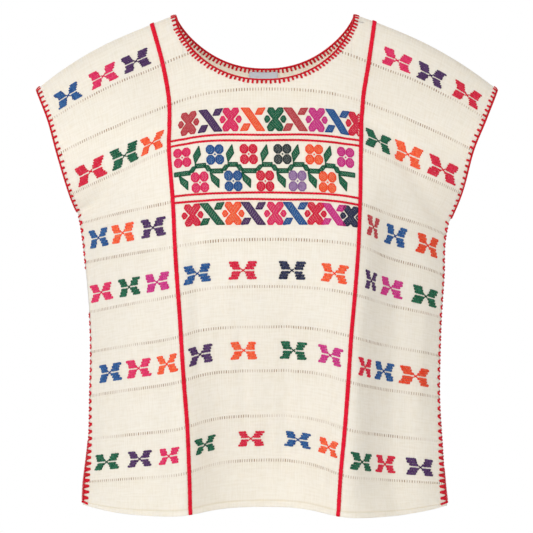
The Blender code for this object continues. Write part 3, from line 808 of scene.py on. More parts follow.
FILL_PITCH = 1.3
FILL_LENGTH = 3.6
FILL_WIDTH = 0.72
FILL_HEIGHT = 0.5
OUTLINE_LENGTH = 2.7
OUTLINE_WIDTH = 0.62
OUTLINE_HEIGHT = 0.66
OUTLINE_INSET = 0.5
OUTLINE_OVERLAP = 0.35
OUTLINE_WANDER = 0.09
SHORTEST_FLOAT = 0.8
LAST_FLOAT = 0.9
# First float of a row as a share of a whole one, in even and odd rows
FIRST_FLOATS = (0.85, 0.35)
EYE_REACH = 1.3

CHEST_MIDDLE = 0.5
# Rows of the chest rise a little towards the seams: weft lines for 100 mm across, squared
ROW_RISE = 0.09
Row = namedtuple("Row", "line tall places motifs")
UPPER_ROW = Row(2.66, 1.08, (-98, -69.5, -43.5, -15.5, 13, 38.5, 65.5, 92, 117), (
    ("flower", "dusty_red"), ("cross", "purple"), ("flower", "pink"), ("cross", "orange"),
    ("flower", "green"), ("cross", "dusty_red"), ("flower", "magenta"), ("cross", "blue"),
    ("flower", "crimson"),
))
LOWER_ROW = Row(4.46, 0.90, (-93.5, -68.5, -42, -17, 10.5, 35.5, 61, 84, 106), (
    ("flower", "crimson"), ("cross", "green"), ("flower", "orange"), ("cross", "purple"),
    ("flower", "pink"), ("cross", "blue"), ("flower", "crimson"), ("cross", "magenta"),
    ("flower", "navy"),
))
VINE_TOP = Row(3.34, 1, (-105.5, -63.5, -21, 21.5, 61.5, 102),
               ("pink", "blue", "crimson", "charcoal", "orange", "magenta"))
VINE_FOOT = Row(3.82, 1, (-83.5, -41.5, -1.5, 39, 77), ("pink", "blue", "crimson", "lilac", "orange"))
STEM_HIGH = 3.525
STEM_LOW = 3.635
# Where each high and each low stretch of the stem begins and ends, across
HIGH_STRETCHES = ((-89.5, -75), (-48, -35), (-5, 8.5), (34, 48.5), (74.5, 88))
LOW_STRETCHES = ((-117, -95.5), (-71, -54), (-31, -12), (13, 28.5), (52.5, 68), (92, 114))
FIRST_LEAF = -111.0
LEAF_SHIFT = 0.6
RED_LINES = (2.98, 3.09, 4.04, 4.17)
RED_LINE_HALF = 122.0
RED_LINE_PITCH = 1.9
RED_STITCH_HALF = 1.5
RED_STITCH_SIZE = (1.45, 0.9)


def chest_line(line, across):
    return line - ROW_RISE * (across / 100) ** 2


def scan_rows(outline):
    """Weft-wise floats that fill an outline, laid like bricks."""
    points = np.array(outline, float)
    following = np.roll(points, -1, axis=0)
    strokes = []
    lowest, highest = points[:, 1].min(), points[:, 1].max()
    for number, down in enumerate(np.arange(lowest + FILL_PITCH * 0.6, highest - 0.2, FILL_PITCH)):
        crosses = (points[:, 1] > down) != (following[:, 1] > down)
        a, b = points[crosses], following[crosses]
        where = np.sort(a[:, 0] + (b[:, 0] - a[:, 0]) * (down - a[:, 1]) / (b[:, 1] - a[:, 1]))
        for begin, finish in zip(where[0::2], where[1::2]):
            begin, finish = begin + OUTLINE_INSET, finish - OUTLINE_INSET
            if finish - begin < SHORTEST_FLOAT:
                continue
            first = begin + FILL_LENGTH * FIRST_FLOATS[number % 2]
            stops = np.arange(first, finish - LAST_FLOAT, FILL_LENGTH)
            stops = np.concatenate(([begin], stops + chance.normal(0, 0.25, len(stops)), [finish]))
            for left, right in zip(stops, stops[1:]):
                tilt = chance.normal(0, 0.07)
                strokes.append((left - 0.1, down - tilt, right + 0.1, down + tilt))
    return strokes


def outline_strokes(outline):
    """Back stitches round an outline, just inside it."""
    points = np.array(outline, float)
    inner = points - unit(points - points.mean(axis=0)) * OUTLINE_INSET
    strokes = []
    for start, end in zip(inner, np.roll(inner, -1, axis=0)):
        count = max(1, round(np.linalg.norm(end - start) / OUTLINE_LENGTH))
        for n in range(count):
            a, b = start + (end - start) * n / count, start + (end - start) * (n + 1) / count
            over = unit(end - start) * OUTLINE_OVERLAP
            wander = chance.normal(0, OUTLINE_WANDER, 2)
            strokes.append((*(a - over + wander), *(b + over - wander)))
    return strokes


def embroider(colour, line, across, outline):
    """Fill an outline with floats and edge it with deeper stitches, at a place on the chest."""
    fill = np.array(scan_rows(outline))
    rim = np.array(outline_strokes(outline))
    # The floats vary at random between deep and light, the light partly a painted sheen; the edge stitches
    # are deep
    light = chance.uniform(0.45, 1.0, len(fill))
    deep = chance.uniform(0, 0.15, len(rim))
    lay_on_chest(colour, line, across, fill, FILL_WIDTH, FILL_HEIGHT, light)
    lay_on_chest(colour, line, across, rim, OUTLINE_WIDTH, OUTLINE_HEIGHT, deep)


def lay_on_chest(colour, line, across, strokes, width, height, shade):
    """Strokes about a place on the chest, each row of them bent to the rise of the work."""
    middle = across + (strokes[:, 0] + strokes[:, 2]) / 2
    per_line = size_at("centre", np.array([CHEST_MIDDLE]), np.array([-line]))[1]
    rise = (chest_line(line, middle) - line) * per_line
    moved = strokes + np.column_stack((np.full(len(strokes), across), rise) * 2)
    lay_stitches(colour, "centre", CHEST_MIDDLE, -line, moved, width, height, shade)


def changed(outline, across=1, down=1):
    return [(x * across, y * down) for x, y in outline]


def embroider_flower(colour, line, across, tall):
    embroider(colour, line, across, changed(FLOWER_BODY, down=tall))
    embroider(colour, line, across, changed(FLOWER_PETAL, down=tall))
    embroider(colour, line, across, changed(FLOWER_PETAL, -1, tall))


def embroider_cross(colour, line, across, tall):
    embroider(colour, line, across, changed(CROSS_BAR, down=tall))
    embroider(colour, line, across, changed(CROSS_ARM, down=tall))
    embroider(colour, line, across, changed(CROSS_ARM, -1, -tall))


def embroider_blossom(colour, line, across):
    """Four round petals about a small eye."""
    turns = np.arange(8) * math.pi / 4 + math.pi / 8
    petal = np.column_stack((np.cos(turns), np.sin(turns))) * PETAL_SIZE
    aside, above = PETAL_PLACE
    for x in (-aside, aside):
        for y in (-above, above):
            embroider(colour, line, across, [tuple(p) for p in petal + (x, y)])
    eye = EYE_REACH * np.array([(-1, 0, 1, 0), (0, -1, 0, 1)])
    lay_on_chest(colour, line, across, eye, OUTLINE_WIDTH, OUTLINE_HEIGHT, 0.3)


def embroider_row(row):
    for across, (kind, colour) in zip(row.places, row.motifs):
        draw = embroider_flower if kind == "flower" else embroider_cross
        draw(colour, row.line, across, row.tall)


def embroider_vine():
    """Blossoms above and below a stem that steps up and down, with a leaf at each step."""
    for row in (VINE_TOP, VINE_FOOT):
        for across, colour in zip(row.places, row.motifs):
            embroider_blossom(colour, row.line, across)
    drop = (STEM_LOW - STEM_HIGH) * size_at("centre", np.array([CHEST_MIDDLE]), np.array([-STEM_HIGH]))[1][0]
    for stretches, down in ((HIGH_STRETCHES, 0), (LOW_STRETCHES, drop)):
        for begin, end in stretches:
            embroider_stem((begin, down), (end, down))
    for high, before, after in zip(HIGH_STRETCHES, LOW_STRETCHES, LOW_STRETCHES[1:]):
        embroider_stem((before[1], drop), (high[0], 0))
        embroider_stem((high[1], 0), (after[0], drop))
        embroider("green", STEM_HIGH, high[0] + LEAF_SHIFT, [(x, y - STEM_HALF) for x, y in LEAF_UP])
    for across in (FIRST_LEAF, *(low[0] for low in LOW_STRETCHES[1:])):
        embroider("green", STEM_HIGH, across, [(x, y + drop + STEM_HALF / 2) for x, y in LEAF_DOWN])


def embroider_stem(start, end):
    """A level or slanting stretch of stem."""
    across, reach = (start[0] + end[0]) / 2, (end[0] - start[0]) / 2
    low, high = start[1], end[1]
    if low == high:
        thick = STEM_HALF
        outline = [(-reach, low - thick), (reach, low - thick), (reach, low + thick), (-reach, low + thick)]
    else:
        aside = STEM_SLOPE / 2
        outline = [(-reach - aside, low), (reach - aside, high), (reach + aside, high), (-reach + aside, low)]
    embroider("green", STEM_HIGH, across, outline)


def lay_red_lines():
    """Four raised red lines across the chest, a slanting stitch at a time."""
    for line in RED_LINES:
        places = np.arange(-RED_LINE_HALF, RED_LINE_HALF, RED_LINE_PITCH)
        sway = 0.35 * np.sin(places / 17 + line * 9)
        lean = np.where(np.arange(len(places)) % 2, 0.35, -0.2)
        reach = RED_STITCH_HALF
        strokes = np.column_stack((places - reach, sway - lean, places + reach, sway + lean))
        shade = chance.uniform(0.2, 0.9, len(places))
        lay_on_chest("red", line, 0, strokes, *RED_STITCH_SIZE, shade)


# ---------------------------------------------------------------- red seams and edges

# Satin bands: half width, stitch pitch, slant and lift, half sizes of a stitch, and the padding
BAND_HALF = 3.0
BAND_PITCH = 1.15
BAND_SLANT = 0.5
BAND_LIFT = 0.55
BAND_STITCH = (0.72, 0.95)
BAND_PADDING = (BAND_HALF * 0.82, 0.9)
BAND_END_GAP = 0.03
# Blanket stitch: the thread along the edge, and the teeth
EDGE_RADIUS = 1.45
EDGE_PITCH = 2.3
TOOTH_PITCH = 5.6
SLEEVE_TOOTH_PITCH = 8.2
TOOTH_LENGTH = 6.2
TOOTH_WIDTH = 1.55
TOOTH_HEIGHT = 0.95
# Zigzag over the side seams: its repeat, closer near the hem, and the weft lines of that change
ZIGZAG_PERIOD = 10.2
HEM_ZIGZAG_PERIOD = 7.2
ZIGZAG_CHANGE = (8.4, 9.7)
# How far its threads reach over the front, by weft line. Below 0 the thread stays behind the edge.
ZIGZAG_REACH = {
    "left": ((3.6, 8.0), (4.3, 6.0), (4.8, 4.0), (5.1, 1.5), (5.15, -1), (6.0, -1), (6.05, 1.8),
             (7.0, 3.0), (7.6, 4.5), (8.4, 7.0), (9.0, 9.5), (9.8, 13.0), (11, 12.0)),
    "right": ((3.6, 8.0), (4.2, 6.0), (5.0, 5.0), (7.0, 5.0), (8.0, 6.0), (9.0, 9.5), (10, 12.5), (11, 12.5)),
}
BACK_REACH = 9.6
BEHIND_EDGE = 3.0
ZIGZAG_WIDTH = 1.5
ZIGZAG_HEIGHT = 0.75
ZIGZAG_GAP = 0.05
# Cord over the edge near the hem, and the weft line where it begins
CORD_RADIUS = 1.7
CORD_LINE = {"left": 9.0, "right": 9.6}
CORD_TAPER = (0.3, 1)
END_STITCH = (1.3, 1.0)
END_STITCH_HALF = 2.6


def even_steps(points, pitch):
    """Fractional row numbers at even steps along a line of points."""
    run = np.concatenate(([0], np.cumsum(np.linalg.norm(np.diff(points, axis=0), axis=1))))
    count = max(2, round(run[-1] / pitch))
    return np.interp((np.arange(count) + 0.5) / count * run[-1], run, np.arange(len(points)))


def lines_along(panel, share, low, high, pitch):
    """Weft lines at even steps along a column of cloth."""
    fine = np.linspace(low, high, 600)
    steps = even_steps(on_cloth(panel, share, fine)[0], pitch)
    return np.interp(steps, np.arange(len(fine)), fine)


def satin_seam(side):
    """Raised satin band over a joining seam, from front hem to back hem."""
    inner_share = 0.0 if side == "left" else 1.0
    inwards = 1 if side == "left" else -1
    line = lines_along(side, 0.0, -HEM_LINE + BAND_END_GAP, HEM_LINE - BAND_END_GAP, BAND_PITCH)
    side_size = size_at(side, np.full(len(line), 0.02), line)[0]
    centre_size = size_at("centre", np.full(len(line), inner_share), line)[0]
    reach = BAND_HALF + chance.normal(0, 0.14, len(line))
    slant = BAND_SLANT / LINE_LENGTH
    outer, up_outer = on_cloth(side, reach / side_size, line - slant)
    inner, up_inner = on_cloth("centre", inner_share + inwards * reach / centre_size, line + slant)
    up = unit(up_outer + up_inner)
    lift = up * BAND_LIFT
    # The satin is mostly light red, partly a painted sheen on its smooth floats
    shade = np.clip(chance.normal(0.85, 0.2, len(line)), 0, 1)
    name = "satin_" + side
    sew(name, outer + lift, inner + lift, up, *BAND_STITCH, shade)
    padding = on_cloth(side, 0.0, line)[0]
    sew(name, padding[:-1], padding[1:], up[:-1], *BAND_PADDING, 0.2)


def edge_chain(name, points, normals, outwards):
    """Thread that lies along a cut edge, as overlapping short stitches round the edge."""
    start, end = points[:-1], points[1:]
    along = unit(end - start)
    middle_up = unit(normals[:-1] + normals[1:])
    away = unit(outwards[:-1] + outwards[1:])
    shift = away * 0.45 - middle_up * WALL / 2
    tilt = middle_up * np.where(np.arange(len(start)) % 2, 0.22, -0.22)[:, None]
    over = along * 0.9
    shade = chance.uniform(0.0, 0.45, len(start))
    over = over + tilt
    sew(name, start + shift - over, end + shift + over, middle_up, EDGE_RADIUS, EDGE_RADIUS, shade)


def teeth(name, edge, tip, up_edge, up_tip, depth=0.0):
    """Blanket-stitch teeth from an edge onto the cloth. depth puts them on the inner face."""
    up = unit(up_edge + up_tip)
    way = -1.0 if depth else 1.0
    raised = up * (way * TOOTH_HEIGHT * (1 - BURIED) - depth)
    wander = chance.normal(0, 0.22, edge.shape)
    wander -= (wander * up).sum(1, keepdims=True) * up
    shade = chance.uniform(0.0, 0.55, len(edge))
    width = TOOTH_WIDTH * chance.uniform(0.88, 1.1, len(edge))
    sew(name, edge + raised, tip + raised + wander, up, width, TOOTH_HEIGHT, shade)


def neck_loop(pitch):
    """Shares, weft lines and directions at even steps round the neck edge."""
    left, right = NECK_SHARES
    turn = np.linspace(0.004, math.pi - 0.004, 400)
    shares = (left + right) / 2 - (right - left) / 2 * np.cos(turn)
    front, back = neck_line(shares, -1), neck_line(shares, 1)
    share = np.concatenate((shares, shares[::-1]))
    line = np.concatenate((front, back[::-1]))
    points = on_cloth("centre", share, line)[0]
    points, share, line = (np.concatenate((v, v[:1])) for v in (points, share, line))
    steps = even_steps(points, pitch)
    rows = np.arange(len(points))
    return np.interp(steps, rows, share), np.interp(steps, rows, line)


def inward_from_neck(share, line, reach):
    """Places on the cloth at a distance in from the neck edge, square to it."""
    per_share, per_line = size_at("centre", share, line)
    across = (np.roll(share, -1) - np.roll(share, 1)) * per_share
    along = (np.roll(line, -1) - np.roll(line, 1)) * per_line
    size = np.hypot(across, along)
    return share + along / size * reach / per_share, line - across / size * reach / per_line


def bind_neck():
    share, line = neck_loop(EDGE_PITCH)
    share, line = np.append(share, share[0]), np.append(line, line[0])
    points, normals = on_cloth("centre", share, line)
    in_share, in_line = inward_from_neck(share[:-1], line[:-1], 2.0)
    inner = on_cloth("centre", np.append(in_share, in_share[0]), np.append(in_line, in_line[0]))[0]
    edge_chain("neck", points, normals, unit(points - inner))
    share, line = neck_loop(TOOTH_PITCH)
    edge, up_edge = on_cloth("centre", share, line)
    for depth in (0.0, WALL):
        reach = TOOTH_LENGTH + chance.normal(0, 0.35, len(share))
        tip, up_tip = on_cloth("centre", *inward_from_neck(share, line, reach))
        teeth("neck", edge, tip, up_edge, up_tip, depth)


def bind_armhole(side):
    name = "armhole_" + side
    low, high = -UNDERARM_LINE, UNDERARM_LINE
    line = lines_along(side, 1.0, low, high, EDGE_PITCH)
    points, normals = on_cloth(side, 1.0, line)
    inner = on_cloth(side, 0.985, line)[0]
    edge_chain(name, points, normals, unit(points - inner))
    line = lines_along(side, 1.0, low, high, SLEEVE_TOOTH_PITCH)
    edge, up_edge = on_cloth(side, 1.0, line)
    width = size_at(side, np.full(len(line), 0.98), line)[0]
    for depth in (0.0, WALL):
        reach = (TOOTH_LENGTH + chance.normal(0, 0.4, len(line))) / width
        tip, up_tip = on_cloth(side, 1 - reach, line + chance.normal(0, 0.006, len(line)))
        teeth(name, edge, tip, up_edge, up_tip, depth)


def zigzag_lines(side):
    """Weft lines of the zigzag's turns."""
    fine = np.linspace(UNDERARM_LINE + ZIGZAG_GAP, HEM_LINE - ZIGZAG_GAP, 600)
    steps = np.linalg.norm(np.diff(on_cloth(side, 1.0, fine)[0], axis=0), axis=1)
    period = np.interp(fine[1:], ZIGZAG_CHANGE, (ZIGZAG_PERIOD, HEM_ZIGZAG_PERIOD))
    turns = np.cumsum(4 * steps / period)
    return np.interp(np.arange(1, turns[-1]), turns, fine[1:])


def close_side(side):
    """Zigzag over the side seam: each thread goes from the front, round the edge, to the back."""
    name = "side_" + side
    line = zigzag_lines(side)
    edge, up_front = on_cloth(side, 1.0, -line)
    up_back = on_cloth(side, 1.0, line)[1]
    both = unit(up_front + up_back)
    width = size_at(side, np.full(len(line), 0.97), line)[0]
    wander = chance.normal(0, 0.4, len(line))
    front_reach = np.interp(line, *zip(*ZIGZAG_REACH[side]))
    behind = front_reach < 0
    edge = np.where(behind[:, None], on_cloth(side, 1 - BEHIND_EDGE / width, line)[0], edge)
    both = np.where(behind[:, None], up_back, both)
    front_share = 1 - np.maximum(front_reach + wander, 1.0) / width
    back_share = 1 - (BACK_REACH + wander) / width
    tips = {-1: on_cloth(side, front_share, -line), 1: on_cloth(side, back_share, line)}
    for start in range(len(line) - 1):
        phase = start % 4
        face = -1 if phase in (0, 3) else 1
        tip_row = start if phase in (0, 2) else start + 1
        edge_row = start + 1 if phase in (0, 2) else start
        if face < 0 and behind[edge_row]:
            continue
        tip, up = (values[tip_row:tip_row + 1] for values in tips[face])
        turn, outward = edge[edge_row:edge_row + 1], both[edge_row:edge_row + 1]
        shade = chance.uniform(0.0, 0.6)
        ends = turn + outward * 0.7, tip + up * 0.5
        sew(name, *ends, unit(up + outward), ZIGZAG_WIDTH, ZIGZAG_HEIGHT, shade)
    corded = line > CORD_LINE[side]
    line, both = line[corded], both[corded]
    places = edge[corded] + both * 0.5
    radius = CORD_RADIUS * np.interp(line[1:], (CORD_LINE[side], CORD_LINE[side] + 1), CORD_TAPER)
    sew(name, places[:-1], places[1:], both[:-1], radius, radius, 0.2)


def stitch_hem_ends():
    """A few stitches finish each seam at the hem."""
    for side in ("left", "right"):
        for face in (-1, 1):
            point, up = on_cloth(side, 0.0, np.array([face * (HEM_LINE - 0.02)]))
            across = on_cloth(side, 0.03, np.array([face * (HEM_LINE - 0.02)]))[0] - point
            step = unit(across) * END_STITCH_HALF
            raised = point + up * 0.6
            sew("satin_" + side, raised - step, raised + step, up, *END_STITCH, 0.2)


# ---------------------------------------------------------------- label

LABEL_WIDTH = 36.0
LABEL_HEIGHT = 18.0
LABEL_GAP = 1.4
LABEL_WALL = 0.7
LABEL_SHIFT = -4.0
LABEL_DROP = 3.0
LABEL_STEPS = (24, 12)


def make_label(material):
    """Blank label inside the back neck, tacked on along its top, with softly curled corners."""
    columns, rows = LABEL_STEPS
    part = np.linspace(-0.5, 0.5, columns + 1)
    share = CHEST_MIDDLE + (part * LABEL_WIDTH + LABEL_SHIFT) / CENTRE_CUT[0]
    top = neck_line(share, 1)
    per_line = size_at("centre", share, top + 0.1)[1]
    down = np.linspace(0, 1, rows + 1)
    lines = top + (LABEL_DROP + LABEL_HEIGHT * down[:, None]) / per_line
    points, normals = on_cloth("centre", share[None, :], lines)
    curl = 0.5 * (2 * np.abs(part)) ** 4 + 0.5 * down[:, None] ** 2
    points = points - normals * (WALL + LABEL_GAP + curl)[..., None]
    across, below = np.broadcast_arrays(part + 0.5, down[:, None])
    square = np.stack((across, below), axis=-1)
    maps = {"OFBake": square, "Weave": square * np.array([LABEL_WIDTH, LABEL_HEIGHT]) * METRES}
    mesh = lay_grid("blank_label", points, maps)
    piece = add_object("blank_label", mesh, material)
    give_wall(piece, LABEL_WALL)
    return piece


# ---------------------------------------------------------------- materials

def colour_of(red, green, blue):
    """Linear colour from a colour card of 0 to 255."""
    parts = [value / 255 for value in (red, green, blue)]
    return tuple(p / 12.92 if p <= 0.04045 else ((p + 0.055) / 1.055) ** 2.4 for p in parts) + (1.0,)


# A yarn's deep and light colours. Stitches mix them by their shade, so deep also serves as painted shade at
# tips and row ends, and light is partly a painted sheen.
Yarn = namedtuple("Yarn", "deep light")
YARNS = {
    "blue": Yarn((18, 68, 138), (70, 120, 176)),
    "pink": Yarn((228, 10, 84), (240, 80, 130)),
    "crimson": Yarn((217, 6, 45), (232, 68, 98)),
    "magenta": Yarn((206, 26, 130), (224, 88, 160)),
    "orange": Yarn((252, 62, 20), (255, 134, 92)),
    "green": Yarn((4, 72, 48), (54, 130, 98)),
    "purple": Yarn((60, 22, 78), (108, 80, 128)),
    "navy": Yarn((24, 26, 52), (72, 78, 108)),
    "charcoal": Yarn((34, 42, 44), (86, 96, 98)),
    "lilac": Yarn((134, 92, 152), (182, 152, 194)),
    "dusty_red": Yarn((188, 36, 52), (212, 104, 110)),
    "red": Yarn((196, 0, 18), (248, 14, 62)),
    "deep_orange": Yarn((236, 38, 8), (238, 110, 74)),
}
CREAM = (246, 239, 227)
# Darker cream: the cloth's own tone in thick and cloudy places, and painted shade in the ribs below the holes
# and in the hem's stitching groove
SHADED_CREAM = (232, 222, 204)
# Painted shadow for the openwork holes: the cloth is not cut, and this brown stands for the shade seen
# through them
HOLE_SHADOW = (150, 104, 58)
LABEL_BLUE = (205, 212, 224)
LABEL_SHADE = (178, 190, 206)

# Metres of cloth from thread to thread and from hole to hole, and inside and outside edges of a
# hole: across as a share of its pitch, and up and down from the weft line in metres
WEAVE_PITCH = 0.00085
LABEL_PITCH = 0.0004
HOLE_PITCH = 0.0035
HOLE_ACROSS = (0.10, 0.22)
HOLE_UPRIGHT = (0.0014, 0.0022)
RIB_LENGTH = (0.002, 0.026)
STRANDS_ROUND = 8.0
STRANDS_ALONG = 700.0
COTTON_GLOSS = 0.5
RED_GLOSS = 0.42

COTTON_FINISH = {
    "Roughness": 0.92,
    "Sheen Weight": 0.05,
    "Sheen Roughness": 0.6,
    "Specular IOR Level": 0.25,
    "Subsurface Weight": 0.4,
    "Subsurface Radius": (1.0, 0.9, 0.75),
    "Subsurface Scale": 2.5 * METRES,
}


class Nodes:
    """Short names for adding and joining nodes in one tree."""

    def __init__(self, tree):
        self.tree = tree

    def add(self, kind, **settings):
        node = self.tree.nodes.new(kind)
        for name, value in settings.items():
            setattr(node, name, value)
        return node

    def join(self, source, target):
        self.tree.links.new(source, target)

    def put(self, socket, value):
        """Link a socket, or set its plain value."""
        if isinstance(value, bpy.types.NodeSocket):
            self.join(value, socket)
        else:
            socket.default_value = value

    def math(self, operation, *values, clamp=False):
        node = self.add("ShaderNodeMath", operation=operation, use_clamp=clamp)
        for socket, value in zip(node.inputs, values):
            self.put(socket, value)
        return node.outputs[0]

    def mix(self, share, first, second):
        node = self.add("ShaderNodeMix", data_type="RGBA")
        for socket, value in zip((node.inputs[0], node.inputs[6], node.inputs[7]), (share, first, second)):
            self.put(socket, value)
        return node.outputs[2]

    def ramp(self, value, low, high):
        """0 to 1 as a value goes from low to high, smoothly."""
        node = self.add("ShaderNodeMapRange", interpolation_type="SMOOTHSTEP")
        for socket, number in zip(node.inputs, (value, low, high, 0.0, 1.0)):
            self.put(socket, number)
        return node.outputs[0]

    def noise(self, vector, scale, detail=2.0, roughness=0.5):
        node = self.add("ShaderNodeTexNoise")
        self.put(node.inputs["Vector"], vector)
        node.inputs["Scale"].default_value = scale
        node.inputs["Detail"].default_value = detail
        node.inputs["Roughness"].default_value = roughness
        return node.outputs["Fac"]

    def scaled(self, vector, *scale):
        node = self.add("ShaderNodeMapping")
        self.put(node.inputs["Vector"], vector)
        node.inputs["Scale"].default_value = scale
        return node.outputs[0]

    def bump(self, height, strength, distance, normal=None):
        node = self.add("ShaderNodeBump")
        self.put(node.inputs["Height"], height)
        node.inputs["Strength"].default_value = strength
        node.inputs["Distance"].default_value = distance
        if normal is not None:
            self.join(normal, node.inputs["Normal"])
        return node.outputs["Normal"]


def new_group(name, inputs, outputs):
    """Empty node group with named sockets, and the nodes that hold them."""
    group = bpy.data.node_groups.new(name, "ShaderNodeTree")
    for label, kind in inputs:
        group.interface.new_socket(label, in_out="INPUT", socket_type=kind)
    for label, kind in outputs:
        group.interface.new_socket(label, in_out="OUTPUT", socket_type=kind)
    nodes = Nodes(group)
    return group, nodes, nodes.add("NodeGroupInput").outputs, nodes.add("NodeGroupOutput").inputs


def plain_weave_group():
    """Threads over and under each other, with thick and thin places."""
    group, nodes, given, made = new_group(
        "plain weave", [("Cloth place", "NodeSocketVector"), ("Pitch", "NodeSocketFloat")],
        [("Height", "NodeSocketFloat"), ("Thick places", "NodeSocketFloat")])
    split = nodes.add("ShaderNodeSeparateXYZ")
    nodes.join(given["Cloth place"], split.inputs[0])
    warp_noise = nodes.noise(nodes.scaled(given["Cloth place"], 460, 55, 1), 1.0)
    weft_noise = nodes.noise(nodes.scaled(given["Cloth place"], 45, 430, 1), 1.0)
    turns = []
    for axis, wander in (("X", warp_noise), ("Y", weft_noise)):
        count = nodes.math("DIVIDE", split.outputs[axis], given["Pitch"])
        count = nodes.math("ADD", count, nodes.math("MULTIPLY", wander, 0.9))
        turns.append(nodes.math("SINE", nodes.math("MULTIPLY", count, math.pi)))
    checks = nodes.math("MULTIPLY", turns[0], turns[1])
    ribs = nodes.math("ADD", nodes.math("ABSOLUTE", turns[0]), nodes.math("ABSOLUTE", turns[1]))
    thick = nodes.math("ADD", warp_noise, weft_noise)
    height = nodes.math("ADD", nodes.math("MULTIPLY", checks, 0.5), nodes.math("MULTIPLY", ribs, 0.35))
    height = nodes.math("ADD", height, nodes.math("MULTIPLY", thick, 0.6))
    nodes.join(height, made["Height"])
    nodes.join(nodes.math("MULTIPLY", thick, 0.5), made["Thick places"])
    return group


def openwork_group():
    """Masks of rows of small upright holes along the weft lines, and of the faint ribs below them. The cloth
    is not cut: the holes are painted as shadow.
    """
    group, nodes, given, made = new_group(
        "openwork lines", [("Cloth place", "NodeSocketVector"), ("Lines shown", "NodeSocketFloat")],
        [("Holes", "NodeSocketFloat"), ("Ribs", "NodeSocketFloat")])
    split = nodes.add("ShaderNodeSeparateXYZ")
    nodes.join(given["Cloth place"], split.inputs[0])
    wander = nodes.noise(nodes.scaled(given["Cloth place"], 26, 18, 1), 1.0)
    line = nodes.math("ABSOLUTE", nodes.math("DIVIDE", split.outputs["Y"], LINE_LENGTH * METRES))
    nearest = nodes.math("ROUND", line)
    off = nodes.math("ABSOLUTE", nodes.math("SUBTRACT", line, nearest))
    off = nodes.math("MULTIPLY", off, LINE_LENGTH * METRES)
    count = nodes.math("DIVIDE", split.outputs["X"], HOLE_PITCH)
    count = nodes.math("ADD", count, nodes.math("MULTIPLY", wander, 0.8))
    cell = nodes.math("FLOOR", count)
    place = nodes.math("ABSOLUTE", nodes.math("SUBTRACT", nodes.math("FRACT", count), 0.5))
    narrow = nodes.math("SUBTRACT", 1.0, nodes.ramp(place, *HOLE_ACROSS))
    short = nodes.math("SUBTRACT", 1.0, nodes.ramp(off, *HOLE_UPRIGHT))
    one = nodes.add("ShaderNodeTexWhiteNoise", noise_dimensions="2D")
    pair = nodes.add("ShaderNodeCombineXYZ")
    nodes.join(cell, pair.inputs[0])
    nodes.join(nearest, pair.inputs[1])
    nodes.join(pair.outputs[0], one.inputs["Vector"])
    strength = nodes.math("MULTIPLY_ADD", one.outputs["Value"], 0.5, 0.5)
    patches = nodes.ramp(nodes.noise(nodes.scaled(given["Cloth place"], 14, 9, 1), 1.0), 0.30, 0.62)
    strength = nodes.math("MULTIPLY", strength, nodes.math("MULTIPLY_ADD", patches, 0.7, 0.3))
    holes = nodes.math("MULTIPLY", nodes.math("MULTIPLY", narrow, short), strength)
    nodes.join(nodes.math("MULTIPLY", holes, given["Lines shown"]), made["Holes"])
    below = nodes.math("MULTIPLY", nodes.math("FRACT", line), LINE_LENGTH * METRES)
    fade = nodes.math("SUBTRACT", 1.0, nodes.ramp(below, *RIB_LENGTH))
    wave = nodes.math("COSINE", nodes.math("MULTIPLY", count, 2 * math.pi))
    ribs = nodes.math("MULTIPLY", nodes.math("MULTIPLY_ADD", wave, -0.5, 0.5), fade)
    nodes.join(nodes.math("MULTIPLY", ribs, patches), made["Ribs"])
    return group


def strand_group():
    """Twisted strands along a stitch, with painted shade between them, and its colour between deep and light.
    """
    group, nodes, given, made = new_group(
        "thread strands",
        [("Strand place", "NodeSocketVector"), ("Shade", "NodeSocketFloat"), ("Deep", "NodeSocketColor"),
         ("Light", "NodeSocketColor")],
        [("Color", "NodeSocketColor"), ("Height", "NodeSocketFloat")])
    split = nodes.add("ShaderNodeSeparateXYZ")
    nodes.join(given["Strand place"], split.inputs[0])
    turn = nodes.math("MULTIPLY", split.outputs["X"], STRANDS_ROUND)
    turn = nodes.math("ADD", turn, nodes.math("MULTIPLY", split.outputs["Y"], STRANDS_ALONG))
    strands = nodes.math("SINE", nodes.math("MULTIPLY", turn, 2 * math.pi))
    strands = nodes.math("MULTIPLY_ADD", strands, 0.5, 0.5)
    speckle = nodes.noise(nodes.scaled(given["Strand place"], 9, 2200, 1), 1.0)
    share = nodes.math("ADD", given["Shade"], nodes.math("MULTIPLY_ADD", speckle, 0.5, -0.25), clamp=True)
    # Painted shade between the twisted strands: the colour goes deeper where the strands' bump is low
    share = nodes.math("MULTIPLY", share, nodes.math("MULTIPLY_ADD", strands, 0.3, 0.7))
    nodes.join(nodes.mix(share, given["Deep"], given["Light"]), made["Color"])
    nodes.join(strands, made["Height"])
    return group


WEAVE = plain_weave_group()
OPENWORK = openwork_group()
STRANDS = strand_group()


def new_material(name):
    made = bpy.data.materials.new(name)
    made.use_nodes = True
    return made, Nodes(made.node_tree), made.node_tree.nodes["Principled BSDF"].inputs


def use_group(nodes, group, **values):
    node = nodes.add("ShaderNodeGroup", node_tree=group)
    for label, value in values.items():
        nodes.put(node.inputs[label.replace("_", " ")], value)
    return node.outputs


def map_named(nodes, name):
    return nodes.add("ShaderNodeUVMap", uv_map=name).outputs[0]


